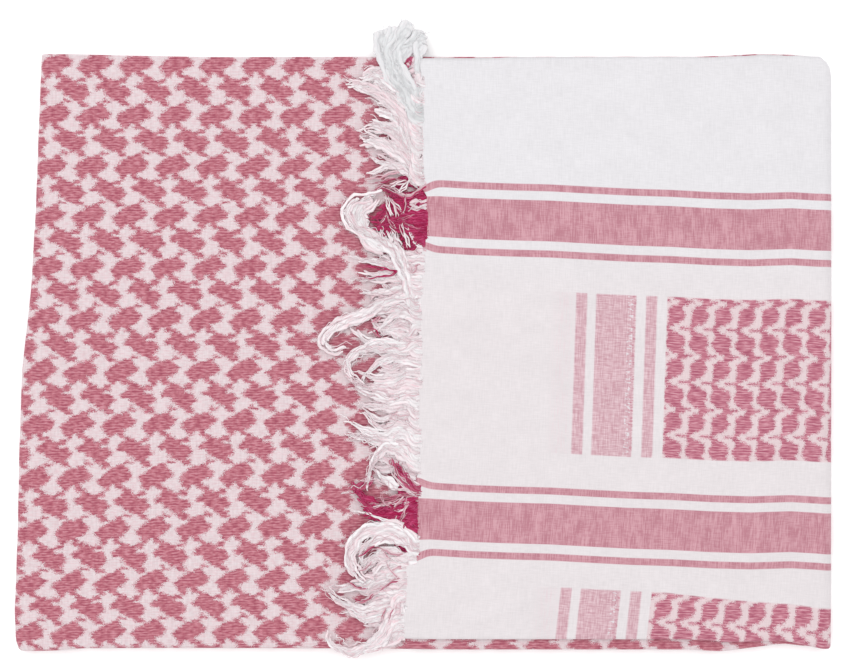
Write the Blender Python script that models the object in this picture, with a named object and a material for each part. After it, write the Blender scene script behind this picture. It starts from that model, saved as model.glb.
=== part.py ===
# Keffiyeh headscarf, folded and laid flat.
# A fringed cotton square of 1.2 m is folded in quarters into a strip of four layers.
# The strip's right end is turned over the top, and its left end is turned under.
# X runs along the strip, Y across it and Z up from the surface that it lies on.

import math

import bmesh
import bpy

MM = 0.001

# Driving sizes, in millimetres.
CLOTH = 1.2
GAP = 0.35
HALF_LENGTH = 204.75
BASE_TOP_EDGE = 140.6
BASE_LOW_EDGE = -155.6
FLAP_TOP_EDGE = 139.9
FLAP_LOW_EDGE = -152.0
STRIP_HEIGHT = 8.0
FLAP_HEIGHT = 11.4
ROLL = 1.3
ROLL_ANGLES = (120, 80, 40)
ROW_PITCH = 24.0
UNDER_SEAM = 3.0

# Swell of the upper faces: soft rises where the layers below are uneven.
SWELL_HEIGHT = 0.4
SWELL_LENGTH = 190.0
SWELL_WIDTH = 230.0

# How far the left fold lies inside its furthest point, at places across the strip.
LEFT_FOLD = [
    dict(y=-160.0, inset=4.0),
    dict(y=-150.0, inset=0.6),
    dict(y=-136.0, inset=0.0),
    dict(y=-96.0, inset=1.4),
    dict(y=-56.0, inset=2.2),
    dict(y=-16.0, inset=3.6),
    dict(y=24.0, inset=8.2),
    dict(y=64.0, inset=10.8),
    dict(y=104.0, inset=12.3),
    dict(y=145.0, inset=14.4),
]

# How far the right fold lies inside its furthest point. Its top corner is rounded.
RIGHT_FOLD = [
    dict(y=-160.0, inset=0.6),
    dict(y=-120.0, inset=0.0),
    dict(y=124.0, inset=0.0),
    dict(y=133.0, inset=0.7),
    dict(y=138.0, inset=2.6),
    dict(y=141.0, inset=5.4),
]

# The lower long edge's rise or fall near the right fold.
LOWER_EDGE = [
    dict(x=-210.0, rise=0.0),
    dict(x=140.0, rise=0.0),
    dict(x=158.0, rise=-0.8),
    dict(x=181.0, rise=1.8),
    dict(x=197.0, rise=0.3),
    dict(x=210.0, rise=-0.3),
]

# The fringed end of the turned-over stretch: each stripe's warp draws it in or out.
FRINGED_END = [
    dict(y=-160.0, x=-10.8),
    dict(y=-119.5, x=-9.6),
    dict(y=-110.0, x=-3.4),
    dict(y=-70.0, x=-2.6),
    dict(y=34.0, x=-1.8),
    dict(y=42.2, x=-0.4),
    dict(y=50.0, x=1.8),
    dict(y=74.0, x=2.0),
    dict(y=81.0, x=-0.8),
    dict(y=145.0, x=-1.4),
]
END_REACH = 70.0
FOLD_REACH = 60.0

# Fringe levels, one above the other: each lock keeps to the height of its own level.
LOCK_DEPTH = 0.95
STRIP_WIDTH = 2.4
LEVEL = dict(low=8.38, high=9.68, top=10.98)

# Root spans along the fringed end, from the top edge down. Crimson warp ends meet the stripes.
SPANS = [
    dict(name="white_1", top=138.6, bottom=81.0),
    dict(name="red_1", top=80.6, bottom=42.4),
    dict(name="white_2", top=42.0, bottom=-69.6),
    dict(name="red_2", top=-70.0, bottom=-109.6),
    dict(name="white_3", top=-110.0, bottom=-151.0),
]

# Locks of the upper level. root and rise run along Y, reach is leftwards, and a positive bow
# lifts the lock's middle towards the top edge.
HIGH_LOCKS = [
    dict(root=134.0, reach=20.0, rise=3.0, bow=1.5, width=2.6),
    dict(root=125.0, reach=25.0, rise=5.0, bow=2.0, width=2.8),
    dict(root=115.0, reach=31.0, rise=9.0, bow=2.5, width=2.6),
    dict(root=105.5, reach=37.0, rise=14.5, bow=3.0, width=3.0),
    dict(root=97.0, reach=30.0, rise=15.0, bow=2.5, width=2.8),
    dict(root=88.0, reach=32.0, rise=15.0, bow=3.0, width=3.2),
    dict(root=78.0, reach=43.0, rise=4.5, bow=3.0, width=3.0),
    dict(root=70.0, reach=30.0, rise=5.0, bow=2.5, width=2.6),
    dict(root=62.0, reach=28.0, rise=4.0, bow=1.5, width=3.2),
    dict(root=54.0, reach=28.0, rise=1.0, bow=0.5, width=3.2),
    dict(root=46.0, reach=22.0, rise=3.0, bow=-1.0, width=2.6),
    dict(root=38.0, reach=33.0, rise=4.0, bow=1.0, width=2.8),
    dict(root=30.0, reach=34.0, rise=6.0, bow=-1.5, width=2.6),
    dict(root=22.0, reach=34.0, rise=5.0, bow=-1.0, width=2.6),
    dict(root=13.0, reach=46.0, rise=-8.0, bow=9.0, width=3.4),
    dict(root=2.0, reach=36.0, rise=-12.0, bow=6.0, width=3.2),
    dict(root=-9.0, reach=34.0, rise=-8.0, bow=4.0, width=2.8),
    dict(root=-18.0, reach=31.0, rise=-4.0, bow=-1.0, width=2.6),
    dict(root=-27.0, reach=32.0, rise=2.0, bow=-1.0, width=3.4),
    dict(root=-37.0, reach=33.0, rise=4.0, bow=-3.0, width=3.0),
    dict(root=-46.0, reach=30.0, rise=5.0, bow=-2.0, width=2.6),
    dict(root=-54.0, reach=38.0, rise=5.0, bow=1.0, width=2.8),
    dict(root=-63.0, reach=27.0, rise=-13.0, bow=5.0, width=3.2),
    dict(root=-74.0, reach=20.0, rise=-7.0, bow=2.0, width=2.6),
    dict(root=-81.0, reach=35.0, rise=-5.0, bow=-2.0, width=3.0),
    dict(root=-89.0, reach=29.0, rise=-4.0, bow=1.0, width=3.2),
    dict(root=-97.0, reach=23.0, rise=-2.0, bow=1.5, width=2.8),
    dict(root=-105.0, reach=20.0, rise=-1.0, bow=1.0, width=2.4),
    dict(root=-115.0, reach=36.0, rise=-13.0, bow=4.0, width=3.4),
    dict(root=-124.0, reach=35.0, rise=-9.0, bow=-3.0, width=3.0),
    dict(root=-133.0, reach=24.0, rise=-6.0, bow=2.0, width=2.8),
    dict(root=-142.0, reach=18.0, rise=-5.0, bow=2.0, width=2.6),
]

# Locks that stand over the top edge in three lobes, from right to left.
TUFT_LOCKS = [
    dict(root=133.8, reach=-8.4, rise=16.8, bow=-4.6, width=2.0),
    dict(root=126.8, reach=-4.8, rise=28.3, bow=-5.4, width=2.4),
    dict(root=119.8, reach=0.2, rise=34.3, bow=-6.2, width=2.4),
    dict(root=112.8, reach=3.6, rise=46.1, bow=-7.4, width=2.4),
    dict(root=105.8, reach=7.4, rise=50.8, bow=-8.2, width=2.4),
    dict(root=98.8, reach=15.2, rise=56.8, bow=-6.8, width=2.6),
    dict(root=91.8, reach=19.2, rise=60.3, bow=-7.4, width=2.6),
]

# Long loose locks that lie over the others: one hook and two loops.
LOOSE_LOCKS = [
    dict(name="loose_hook", root=17.0, reach=34.2, rise=51.6, bow=8.0, width=3.4),
    dict(name="loose_upper_loop", root=-103.5, reach=33.8, rise=-16.9, bow=14.0, width=4.4),
    dict(name="loose_lower_loop", root=-131.0, reach=35.0, rise=-20.4, bow=-16.0, width=4.6),
]
LOOSE_STRIP = 4.4

# The lower level's locks, evenly rooted, with their reach, rise and bow in slow waves.
LOW_PITCH = 7.2
LOW_REACH = 32.0
LOW_REACH_WAVE = 5.0
LOW_RISE = 5.0
LOW_RISE_WAVE = 6.0
LOW_BOW_WAVE = 1.6
LOW_WIDTH = 2.8

COLOURS = dict(
    field=(0.64, 0.36, 0.41),
    white=(0.82, 0.79, 0.81),
    inner=(0.78, 0.62, 0.66),
    crimson=(0.38, 0.03, 0.10),
)


def along(rows, key, value, at):
    # The value at a place between two rows of a table.
    if at <= rows[0][key]:
        return rows[0][value]
    for low, high in zip(rows, rows[1:]):
        if at <= high[key]:
            share = (at - low[key]) / (high[key] - low[key])
            return low[value] + share * (high[value] - low[value])
    return rows[-1][value]


def swell(x, y):
    length_wave = math.sin(2 * math.pi * x / SWELL_LENGTH + 0.6)
    width_wave = math.cos(2 * math.pi * y / SWELL_WIDTH - 0.4)
    return SWELL_HEIGHT * length_wave * width_wave


def lay(x, y, z):
    # Every solid is drawn straight, and this lays it as the folded cloth lies.
    left_share = max(0.0, (-x - FOLD_REACH) / (HALF_LENGTH - FOLD_REACH))
    left = left_share * along(LEFT_FOLD, "y", "inset", y)
    right_share = max(0.0, (x - FOLD_REACH) / (HALF_LENGTH - FOLD_REACH))
    right = right_share ** 4 * along(RIGHT_FOLD, "y", "inset", y)
    lower_share = (BASE_TOP_EDGE - y) / (BASE_TOP_EDGE - BASE_LOW_EDGE)
    rise = max(0.0, lower_share) ** 2 * along(LOWER_EDGE, "x", "rise", x)
    lift = min(1.0, max(0.0, z - CLOTH) / (STRIP_HEIGHT - CLOTH))
    return ((x + left - right) * MM, (y + rise) * MM, (z + lift * swell(x, y)) * MM)


def end_shift(x, y):
    # How far the fringed end's own line moves a point of the turned-over stretch.
    return along(FRINGED_END, "y", "x", y) * max(0.0, 1 - max(0.0, x) / END_REACH)


def material(name, colour):
    surface = bpy.data.materials.new(name)
    surface.use_nodes = True
    shader = surface.node_tree.nodes["Principled BSDF"]
    shader.inputs["Base Color"].default_value = (*colour, 1.0)
    shader.inputs["Roughness"].default_value = 0.9
    shader.inputs["Metallic"].default_value = 0.0
    return surface


def finish(name, mesh_builder, colour):
    bmesh.ops.recalc_face_normals(mesh_builder, faces=mesh_builder.faces)
    if mesh_builder.calc_volume(signed=True) < 0:
        bmesh.ops.reverse_faces(mesh_builder, faces=mesh_builder.faces)
    mesh = bpy.data.meshes.new(name)
    mesh_builder.to_mesh(mesh)
    mesh_builder.free()
    mesh.shade_smooth()
    mesh.set_sharp_from_angle(angle=math.radians(50))
    piece = bpy.data.objects.new(name, mesh)
    piece.data.materials.append(material(name + "_cotton", colour))
    bpy.context.scene.collection.objects.link(piece)
    return piece


def spread(start, stop, count):
    return [start + (stop - start) * step / count for step in range(count + 1)]


def even_rows(low, high):
    return spread(low, high, round((high - low) / ROW_PITCH))


def flap_rows(low, high):
    # Rows across the turned-over stretch, with one at each bend of its two ends.
    bends = [row["y"] for row in FRINGED_END + RIGHT_FOLD if low < row["y"] < high]
    between = [y for y in even_rows(low, high)[1:-1]
               if all(abs(y - bend) > ROW_PITCH / 3 for bend in bends)]
    return sorted([low, *bends, *between, high])


def rolled_rows(low, high, places, roll_low=True, roll_high=True):
    # Places across a sheet as (y, inset), where inset is the way in from its outer face.
    centre = ROLL + CLOTH / 2
    angles = [math.radians(angle) for angle in ROLL_ANGLES]
    rows = []
    if roll_low:
        for angle in angles:
            rows.append((low + centre - ROLL * math.sin(angle), ROLL * (1 - math.cos(angle))))
    flat_low = low + centre if roll_low else low
    flat_high = high - centre if roll_high else high
    rows += [(y, 0.0) for y in places(flat_low, flat_high)]
    if roll_high:
        for angle in reversed(angles):
            rows.append((high - centre + ROLL * math.sin(angle), ROLL * (1 - math.cos(angle))))
    return rows


def wall(name, rows_at, stations, colour, shift=None):
    # A cloth wall on the grid of its middle face: stations run along it and rows across it.
    builder = bmesh.new()
    grid = []
    for station in stations:
        line = []
        for y, inset in rows_at(station):
            x = station["x"] + inset * station["in_x"]
            z = station["z"] + inset * station["in_z"]
            if shift and station["upper"]:
                x += shift(x, y)
            line.append(builder.verts.new(lay(x, y, z)))
        grid.append(line)
    for first, second in zip(grid, grid[1:]):
        for k in range(len(first) - 1):
            builder.faces.new((first[k], second[k], second[k + 1], first[k + 1]))
    piece = finish(name, builder, colour)
    thicken = piece.modifiers.new("Cloth thickness", "SOLIDIFY")
    thicken.thickness = CLOTH * MM
    thicken.offset = 0.0
    thicken.use_even_offset = True
    return piece


def slab(name, sections, colour):
    # A closed body through sections, each an upper and a lower line of as many points.
    builder = bmesh.new()
    lines = [[[builder.verts.new(point) for point in line] for line in section]
             for section in sections]
    for (upper, lower), (next_upper, next_lower) in zip(lines, lines[1:]):
        ring = upper + lower[::-1]
        next_ring = next_upper + next_lower[::-1]
        for k in range(len(ring)):
            j = (k + 1) % len(ring)
            builder.faces.new((ring[k], ring[j], next_ring[j], next_ring[k]))
    for upper, lower in (lines[0], lines[-1]):
        for k in range(len(upper) - 1):
            builder.faces.new((upper[k], upper[k + 1], lower[k + 1], lower[k]))
    return finish(name, builder, colour)


def fold_stations(upper_end, lower_end, side, height, steps, counts):
    # Stations from a sheet's upper end, round its fold, to its lower end. side is -1 or 1.
    middle = height / 2
    radius = middle - CLOTH / 2
    centre = side * (HALF_LENGTH - middle)
    upper_z = height - CLOTH / 2
    lower_z = CLOTH / 2
    stations = []
    for x in spread(upper_end, centre, counts["upper"])[:-1]:
        stations.append(dict(x=x, z=upper_z, in_x=0.0, in_z=-1.0, upper=True))
    for angle in spread(0.0, math.pi, steps):
        sine = math.sin(angle)
        cosine = math.cos(angle)
        stations.append(dict(x=centre + side * radius * sine, z=middle + radius * cosine,
                             in_x=-side * sine, in_z=-cosine, upper=cosine > 0.99))
    for x in spread(centre, lower_end, counts["lower"])[1:]:
        stations.append(dict(x=x, z=lower_z, in_x=0.0, in_z=1.0, upper=False))
    return stations


def build_field_stretch():
    # The patterned stretch on top, round the left fold and back along the underside.
    rows = rolled_rows(BASE_LOW_EDGE, BASE_TOP_EDGE, even_rows)
    stations = fold_stations(HALF_LENGTH - 8.0, -UNDER_SEAM, -1, STRIP_HEIGHT, 8,
                             dict(upper=14, lower=7))
    return wall("field_stretch", lambda station: rows, stations, COLOURS["field"])


def build_turned_end():
    # The stretch turned over from the right fold, from its fringed end to its foot underneath.
    stations = fold_stations(0.0, UNDER_SEAM, 1, FLAP_HEIGHT, 8, dict(upper=10, lower=6))
    radius = FLAP_HEIGHT / 2
    drop_start = HALF_LENGTH - 60.0
    rows = rolled_rows(FLAP_LOW_EDGE, FLAP_TOP_EDGE, flap_rows, roll_high=False)

    def rows_at(station):
        # The lower edge steps out to the strip's own edge on its way to the fold.
        share = (station["x"] - drop_start) / (HALF_LENGTH - radius - drop_start)
        share = min(1.0, max(0.0, share)) if station["z"] > radius else 1.0
        step = share * (BASE_LOW_EDGE - FLAP_LOW_EDGE)
        return [(y + step if y < FLAP_LOW_EDGE + ROW_PITCH / 2 else y, inset) for y, inset in rows]

    return wall("turned_end", rows_at, stations, COLOURS["white"], shift=end_shift)


def build_hidden_layers():
    # The layers inside the strip, in one body whose long edges show them as lips.
    middle = STRIP_HEIGHT / 2
    inside = middle - CLOTH - GAP
    back = ROLL + CLOTH + 0.1
    lip = [
        dict(inset=1.6, z=0.06),
        dict(inset=0.6, z=0.25),
        dict(inset=0.9, z=0.7),
        dict(inset=back, z=0.8),
        dict(inset=back, z=inside),
    ]
    left = -HALF_LENGTH + middle
    right = HALF_LENGTH - FLAP_HEIGHT / 2
    stations = [
        dict(x=left - inside * 0.92, height=0.35, inset=back),
        dict(x=left - inside * 0.6, height=0.78, inset=back),
        dict(x=left - 0.2, height=1.0, inset=back),
    ]
    stations += [dict(x=x, height=1.0, inset=0.0) for x in spread(left + 1.0, right - 2.0, 14)]
    stations += [
        dict(x=right - 1.0, height=1.0, inset=back),
        dict(x=right + 1.2, height=0.55, inset=back),
    ]
    inner = even_rows(BASE_LOW_EDGE + back, BASE_TOP_EDGE - back)[-2:0:-1]
    sections = []
    for station in stations:
        edge = [(max(row["inset"], station["inset"]), row["z"]) for row in lip]
        line = [(BASE_TOP_EDGE - inset, z) for inset, z in edge]
        line += [(y, inside) for y in inner]
        line += [(BASE_LOW_EDGE + inset, z) for inset, z in reversed(edge)]
        sections.append([
            [lay(station["x"], y, middle + side * z * station["height"]) for y, z in line]
            for side in (1, -1)
        ])
    return slab("hidden_layers", sections, COLOURS["inner"])


def build_turned_layers():
    # The layers under the turned-over stretch. Their selvedges show as lips along the top edge.
    low = STRIP_HEIGHT + GAP
    high = FLAP_HEIGHT - CLOTH - GAP
    middle = (low + high) / 2
    rise = (high - low) / 2
    low_y = FLAP_LOW_EDGE + ROLL + CLOTH + GAP
    lip = [
        dict(inset=1.8, z=0.05),
        dict(inset=0.6, z=0.2),
        dict(inset=0.7, z=rise),
    ]
    inner = flap_rows(low_y, FLAP_TOP_EDGE - 3.0)[::-1]
    stations = [dict(x=0.6, inset=0.7)]
    stations += [dict(x=x, inset=0.0) for x in spread(3.0, HALF_LENGTH - 12.0, 8)]
    stations += [dict(x=HALF_LENGTH - 9.0, inset=0.7)]
    sections = []
    for station in stations:
        x = station["x"]
        flush = station["inset"]
        line = [(FLAP_TOP_EDGE - (flush or row["inset"]), row["z"]) for row in lip]
        line += [(y, rise) for y in inner]
        sections.append([
            [lay(x + end_shift(x, y), y, middle + side * z) for y, z in line]
            for side in (1, -1)
        ])
    return slab("turned_layers", sections, COLOURS["inner"])


def lock_route(lock, steps, droop=0.0):
    # Middle line of a lock from its root, as (x, y, drop) points.
    root_x = end_shift(0.0, lock["root"]) - GAP - STRIP_WIDTH
    length = math.hypot(lock["reach"], lock["rise"])
    side_x = lock["rise"] / length
    side_y = lock["reach"] / length
    route = []
    for share in spread(0.0, 1.0, steps)[1:]:
        bow = lock["bow"] * math.sin(math.pi * share)
        x = root_x - lock["reach"] * share + side_x * bow
        y = lock["root"] + lock["rise"] * share + side_y * bow
        route.append((x, y, droop * max(0.0, y - BASE_TOP_EDGE)))
    return route


def add_lock(builder, root_ring, lock, level, steps, droop):
    # A lock of four sides, drawn out from its root cell and tapered to its tip.
    route = lock_route(lock, steps, droop)
    ring = root_ring
    last = len(route) - 1
    for k, (x, y, drop) in enumerate(route):
        before = route[k - 1] if k else (end_shift(0.0, lock["root"]) - GAP, lock["root"], 0.0)
        after = route[min(k + 1, last)]
        run_x = after[0] - before[0]
        run_y = after[1] - before[1]
        run = math.hypot(run_x, run_y)
        side_x = -run_y / run
        side_y = run_x / run
        half = lock["width"] / 2 * (0.45 if k == last else 1.0)
        depth = LOCK_DEPTH * (0.6 if k == last else 1.0)
        rest = level - drop
        corners = [
            (x + side_x * half, y + side_y * half, rest),
            (x - side_x * half, y - side_y * half, rest),
            (x - side_x * half, y - side_y * half, rest + depth),
            (x + side_x * half, y + side_y * half, rest + depth),
        ]
        new_ring = [builder.verts.new(lay(*corner)) for corner in corners]
        for i in range(4):
            j = (i + 1) % 4
            builder.faces.new((ring[i], ring[j], new_ring[j], new_ring[i]))
        ring = new_ring
    builder.faces.new(ring)


def fringe(name, span, locks, level, colour, steps=6, droop=0.0):
    # Locks whose roots are fused into one narrow strip, parted from the cloth's edge.
    bends = [row["y"] for row in FRINGED_END if span["bottom"] < row["y"] < span["top"]]
    cuts = [dict(y=y, lock=None) for y in (span["bottom"], *bends, span["top"])]
    for lock in locks:
        half = min(lock["width"], 3.2) / 2 + 0.2
        cuts.append(dict(y=lock["root"] - half, lock=lock))
        cuts.append(dict(y=lock["root"] + half, lock=None))
    cuts.sort(key=lambda cut: cut["y"])
    builder = bmesh.new()
    sections = []
    for cut in cuts:
        right = end_shift(0.0, cut["y"]) - GAP
        left = right - STRIP_WIDTH
        corners = [(left, level), (right, level), (right, level + LOCK_DEPTH),
                   (left, level + LOCK_DEPTH)]
        sections.append([builder.verts.new(lay(x, cut["y"], z)) for x, z in corners])
    for cut, first, second in zip(cuts, sections, sections[1:]):
        for i in range(3):
            builder.faces.new((first[i], first[i + 1], second[i + 1], second[i]))
        root_ring = [first[0], second[0], second[3], first[3]]
        if cut["lock"]:
            add_lock(builder, root_ring, cut["lock"], level, steps, droop)
        else:
            builder.faces.new(root_ring)
    builder.faces.new(sections[0])
    builder.faces.new(sections[-1])
    return finish(name, builder, colour)


def low_locks(span):
    count = int((span["top"] - span["bottom"]) / LOW_PITCH)
    pitch = (span["top"] - span["bottom"]) / count
    locks = []
    for k in range(count):
        root = span["bottom"] + pitch * (k + 0.5)
        wave = root / LOW_PITCH
        locks.append(dict(root=root, width=LOW_WIDTH,
                          reach=LOW_REACH + LOW_REACH_WAVE * math.sin(0.9 * wave),
                          rise=LOW_RISE + LOW_RISE_WAVE * math.sin(0.31 * wave + 1.0),
                          bow=LOW_BOW_WAVE * math.sin(1.7 * wave)))
    return locks


def build_fringe():
    pieces = []
    for span in SPANS:
        colour = COLOURS["crimson"] if span["name"].startswith("red") else COLOURS["white"]
        high = [lock for lock in HIGH_LOCKS if span["bottom"] < lock["root"] < span["top"]]
        pieces.append(fringe("fringe_low_" + span["name"], span, low_locks(span),
                             LEVEL["low"], colour, steps=5))
        pieces.append(fringe("fringe_high_" + span["name"], span, high,
                             LEVEL["high"], colour, steps=7))
    tuft_span = dict(top=136.0, bottom=89.0)
    pieces.append(fringe("corner_tuft", tuft_span, TUFT_LOCKS, LEVEL["top"],
                         COLOURS["white"], steps=9, droop=0.25))
    for lock in LOOSE_LOCKS:
        loose_span = dict(top=lock["root"] + LOOSE_STRIP / 2, bottom=lock["root"] - LOOSE_STRIP / 2)
        pieces.append(fringe(lock["name"], loose_span, [lock], LEVEL["top"],
                             COLOURS["white"], steps=12))
    return pieces


def main():
    for item in list(bpy.data.objects):
        bpy.data.objects.remove(item, do_unlink=True)
    build_field_stretch()
    build_turned_end()
    build_hidden_layers()
    build_turned_layers()
    build_fringe()


main()
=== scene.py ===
import math

import bpy
import numpy as np
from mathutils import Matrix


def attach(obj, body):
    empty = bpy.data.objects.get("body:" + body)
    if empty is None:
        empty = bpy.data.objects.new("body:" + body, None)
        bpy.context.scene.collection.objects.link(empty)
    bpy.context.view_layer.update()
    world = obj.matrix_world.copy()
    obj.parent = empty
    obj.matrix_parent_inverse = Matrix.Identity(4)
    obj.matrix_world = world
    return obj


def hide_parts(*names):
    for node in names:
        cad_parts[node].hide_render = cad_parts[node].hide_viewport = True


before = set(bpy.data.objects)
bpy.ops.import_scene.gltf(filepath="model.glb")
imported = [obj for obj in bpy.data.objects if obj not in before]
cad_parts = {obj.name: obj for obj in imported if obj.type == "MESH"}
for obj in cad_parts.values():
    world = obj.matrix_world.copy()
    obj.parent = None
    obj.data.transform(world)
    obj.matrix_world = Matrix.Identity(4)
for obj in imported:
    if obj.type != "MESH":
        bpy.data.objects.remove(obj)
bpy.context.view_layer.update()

# A fringed cotton headscarf, folded in quarters into a strip. The strip's left end is turned
# under and its right end is turned over the top, so its fringe lies across the middle.
# Lengths are in millimetres until lay() gives metres.

mm = 0.001
bpy.ops.object.select_all(action="DESELECT")
print("frame loaded")


# Camera, floor and light

studio = dict(
    cameraX=2.25, cameraY=1.65, cameraHeight=1017.7, lens=85.0, sensor=36.0,
    floorSize=9.0, floorColour="#ffffff", floorRoughness=0.95, worldStrength=1.06,
    softboxPower=26.0, softboxSize=2.6, softboxPlace=(-0.55, 0.7, 2.4),
)


def linear(hexColour):
    # An sRGB hex colour as linear values.
    channels = [int(hexColour[k:k + 2], 16) / 255 for k in (1, 3, 5)]
    return [c / 12.92 if c <= 0.04045 else ((c + 0.055) / 1.055) ** 2.4 for c in channels] + [1.0]


def addNode(tree, kind, settings=None, links=None):
    # Adds a node with its settings. A link is a node, a socket or a plain value.
    node = tree.nodes.new("ShaderNode" + kind)
    for name, value in (settings or {}).items():
        setattr(node, name, value)
    for place, source in (links or {}).items():
        if isinstance(source, bpy.types.Node):
            source = next(output for output in source.outputs if output.enabled)
        if isinstance(source, bpy.types.NodeSocket):
            tree.links.new(source, node.inputs[place])
        else:
            node.inputs[place].default_value = source
    return node


def calc(tree, operation, *values):
    return addNode(tree, "Math", {"operation": operation}, dict(enumerate(values)))


def chain(tree, value, *steps):
    # One sum after another. Each step is an operation and the values that go with it.
    for operation, *values in steps:
        value = calc(tree, operation, value, *values)
    return value


def joined(tree, operation, values):
    # The same sum taken over several values in turn.
    total = values[0]
    for value in values[1:]:
        total = calc(tree, operation, total, value)
    return total


def remap(tree, value, low, high, newLow=0.0, newHigh=1.0, soft=False):
    # Moves a range of values to another one and clamps it there.
    return addNode(tree, "MapRange", {"interpolation_type": "SMOOTHSTEP" if soft else "LINEAR"},
                   {0: value, 1: low, 2: high, 3: newLow, 4: newHigh})


def mixed(tree, share, first, second):
    # From the first colour to the second. A colour is a link or an sRGB hex.
    first, second = (linear(colour) if isinstance(colour, str) else colour
                     for colour in (first, second))
    return addNode(tree, "Mix", {"data_type": "RGBA"}, {0: share, 6: first, 7: second})


def scaled(tree, vector, amount):
    return addNode(tree, "VectorMath", {"operation": "SCALE"}, {0: vector, "Scale": amount})


def newSurface(name, roughness, sheen, sheenRoughness=0.5, specular=0.25):
    surface = bpy.data.materials.new(name)
    surface.use_nodes = True
    tree = surface.node_tree
    shader = tree.nodes["Principled BSDF"]
    shader.inputs["Roughness"].default_value = roughness
    shader.inputs["Specular IOR Level"].default_value = specular
    shader.inputs["Sheen Weight"].default_value = sheen
    shader.inputs["Sheen Roughness"].default_value = sheenRoughness
    return surface, tree, shader


def setStudio():
    scene = bpy.context.scene
    scene.view_settings.view_transform = "Standard"
    world = bpy.data.worlds.new("softStudio")
    world.use_nodes = True
    background = world.node_tree.nodes["Background"]
    background.inputs["Color"].default_value = (1.0, 1.0, 1.0, 1.0)
    background.inputs["Strength"].default_value = studio["worldStrength"]
    scene.world = world

    bpy.ops.object.camera_add(
        location=(studio["cameraX"] * mm, studio["cameraY"] * mm, studio["cameraHeight"] * mm),
        rotation=(0.0, 0.0, 0.0))
    camera = bpy.context.object
    camera.data.lens = studio["lens"]
    camera.data.sensor_width = studio["sensor"]
    camera.data.clip_start = 0.01
    scene.camera = camera

    bpy.ops.object.light_add(type="AREA", location=studio["softboxPlace"])
    softbox = bpy.context.object
    softbox.data.energy = studio["softboxPower"]
    softbox.data.size = studio["softboxSize"]
    x, y, z = studio["softboxPlace"]
    softbox.rotation_euler = (math.atan2(math.hypot(x, y), z), 0.0, math.atan2(-x, y) + math.pi)

    bpy.ops.mesh.primitive_plane_add(size=studio["floorSize"], location=(0, 0, -0.1 * mm))
    floor = bpy.context.object
    floor.name = "floor"
    surface, _, shader = newSurface("matte paper backdrop", studio["floorRoughness"], 0.0,
                                    specular=0.0)
    shader.inputs["Base Color"].default_value = linear(studio["floorColour"])
    floor.data.materials.append(surface)


setStudio()
print("studio set")


# The fold: how straight cloth is laid

fold = dict(
    halfLength=204.75, topEdge=140.6, lowEdge=-155.6, flapTopEdge=139.9, flapLowEdge=-150.0,
    stripHeight=8.0, flapHeight=11.4, cloth=1.2, foldReach=60.0, endReach=70.0,
    swellHeight=0.4, swellLength=190.0, swellWidth=230.0,
    # How far each fold lies inside its furthest point, at places across the strip.
    leftY=(-160.0, -150.0, -136.0, -96.0, -56.0, -16.0, 24.0, 64.0, 104.0, 145.0),
    leftInset=(3.6, 0.3, -0.2, 1.3, 2.1, 3.5, 8.0, 10.4, 11.9, 13.6),
    rightY=(-160.0, -120.0, 131.0, 135.6, 138.6, 140.2, 141.2),
    rightInset=(0.0, -0.3, -0.3, 0.6, 2.6, 5.4, 8.0),
    # The top edge's rise, and how far the turned-over stretch stays below it.
    upperX=(-210.0, -186.0, -150.0, -106.0, 0.0, 140.0, 161.0, 171.0, 188.0, 200.0),
    upperRise=(1.5, 1.3, 0.5, -0.2, 0.0, 0.0, 0.9, 1.5, 1.0, 0.2),
    flapX=(0.0, 6.0, 32.0, 44.0, 136.0, 146.0, 184.0, 192.0),
    flapDrop=(0.9, 0.9, 0.8, 0.0, 0.0, 0.4, 0.4, 0.0),
    # The lower long edge's rise or fall near the right fold.
    lowerX=(-210.0, -186.0, -172.0, -130.0, -20.0, 10.0, 130.0, 150.0, 181.0, 197.0, 210.0),
    lowerRise=(-1.9, -1.6, -0.4, -0.2, -0.5, -1.0, -1.0, -1.9, 2.0, 0.2, -1.6),
    # The fringed end, drawn in or out by each stripe's warp.
    endY=(-160.0, -115.5, -112.5, -108.5, -70.0, 34.0, 42.2, 50.0, 74.0, 81.0, 145.0),
    endX=(-11.7, -11.5, -9.5, -3.2, -2.6, -1.8, -0.4, 1.8, 2.0, -0.8, -1.4),
)

# Soft creases in the turned-over stretch, each along a line, with its height and half-width.
creases = [
    dict(start=(18.0, -142.0), end=(34.0, -138.5), height=1.2, width=2.8),
    dict(start=(34.0, -138.5), end=(60.0, -126.5), height=1.5, width=3.0),
    dict(start=(20.0, 118.0), end=(120.0, 124.0), height=0.25, width=9.0),
    dict(start=(120.0, 96.0), end=(196.0, 90.0), height=0.3, width=8.0),
    dict(start=(150.0, -128.0), end=(198.0, -118.0), height=0.35, width=7.0),
    dict(start=(6.0, 8.0), end=(52.0, -24.0), height=0.25, width=8.0),
]


def smooth(share):
    share = np.clip(share, 0.0, 1.0)
    return share * share * (3 - 2 * share)


def swell(x, y):
    lengthWave = np.sin(2 * math.pi * x / fold["swellLength"] + 0.6)
    widthWave = np.cos(2 * math.pi * y / fold["swellWidth"] - 0.4)
    return fold["swellHeight"] * lengthWave * widthWave


def creaseHeight(x, y):
    total = np.zeros(np.broadcast(x, y).shape)
    for crease in creases:
        start, end = np.array(crease["start"]), np.array(crease["end"])
        run = end - start
        share = ((x - start[0]) * run[0] + (y - start[1]) * run[1]) / (run @ run)
        share = np.clip(share, 0.0, 1.0)
        offX, offY = x - start[0] - share * run[0], y - start[1] - share * run[1]
        uneven = 0.75 + 0.25 * np.sin(7.0 * share + 0.11 * start[1])
        total += crease["height"] * uneven * np.exp(-(offX ** 2 + offY ** 2) / crease["width"] ** 2)
    return total


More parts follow.
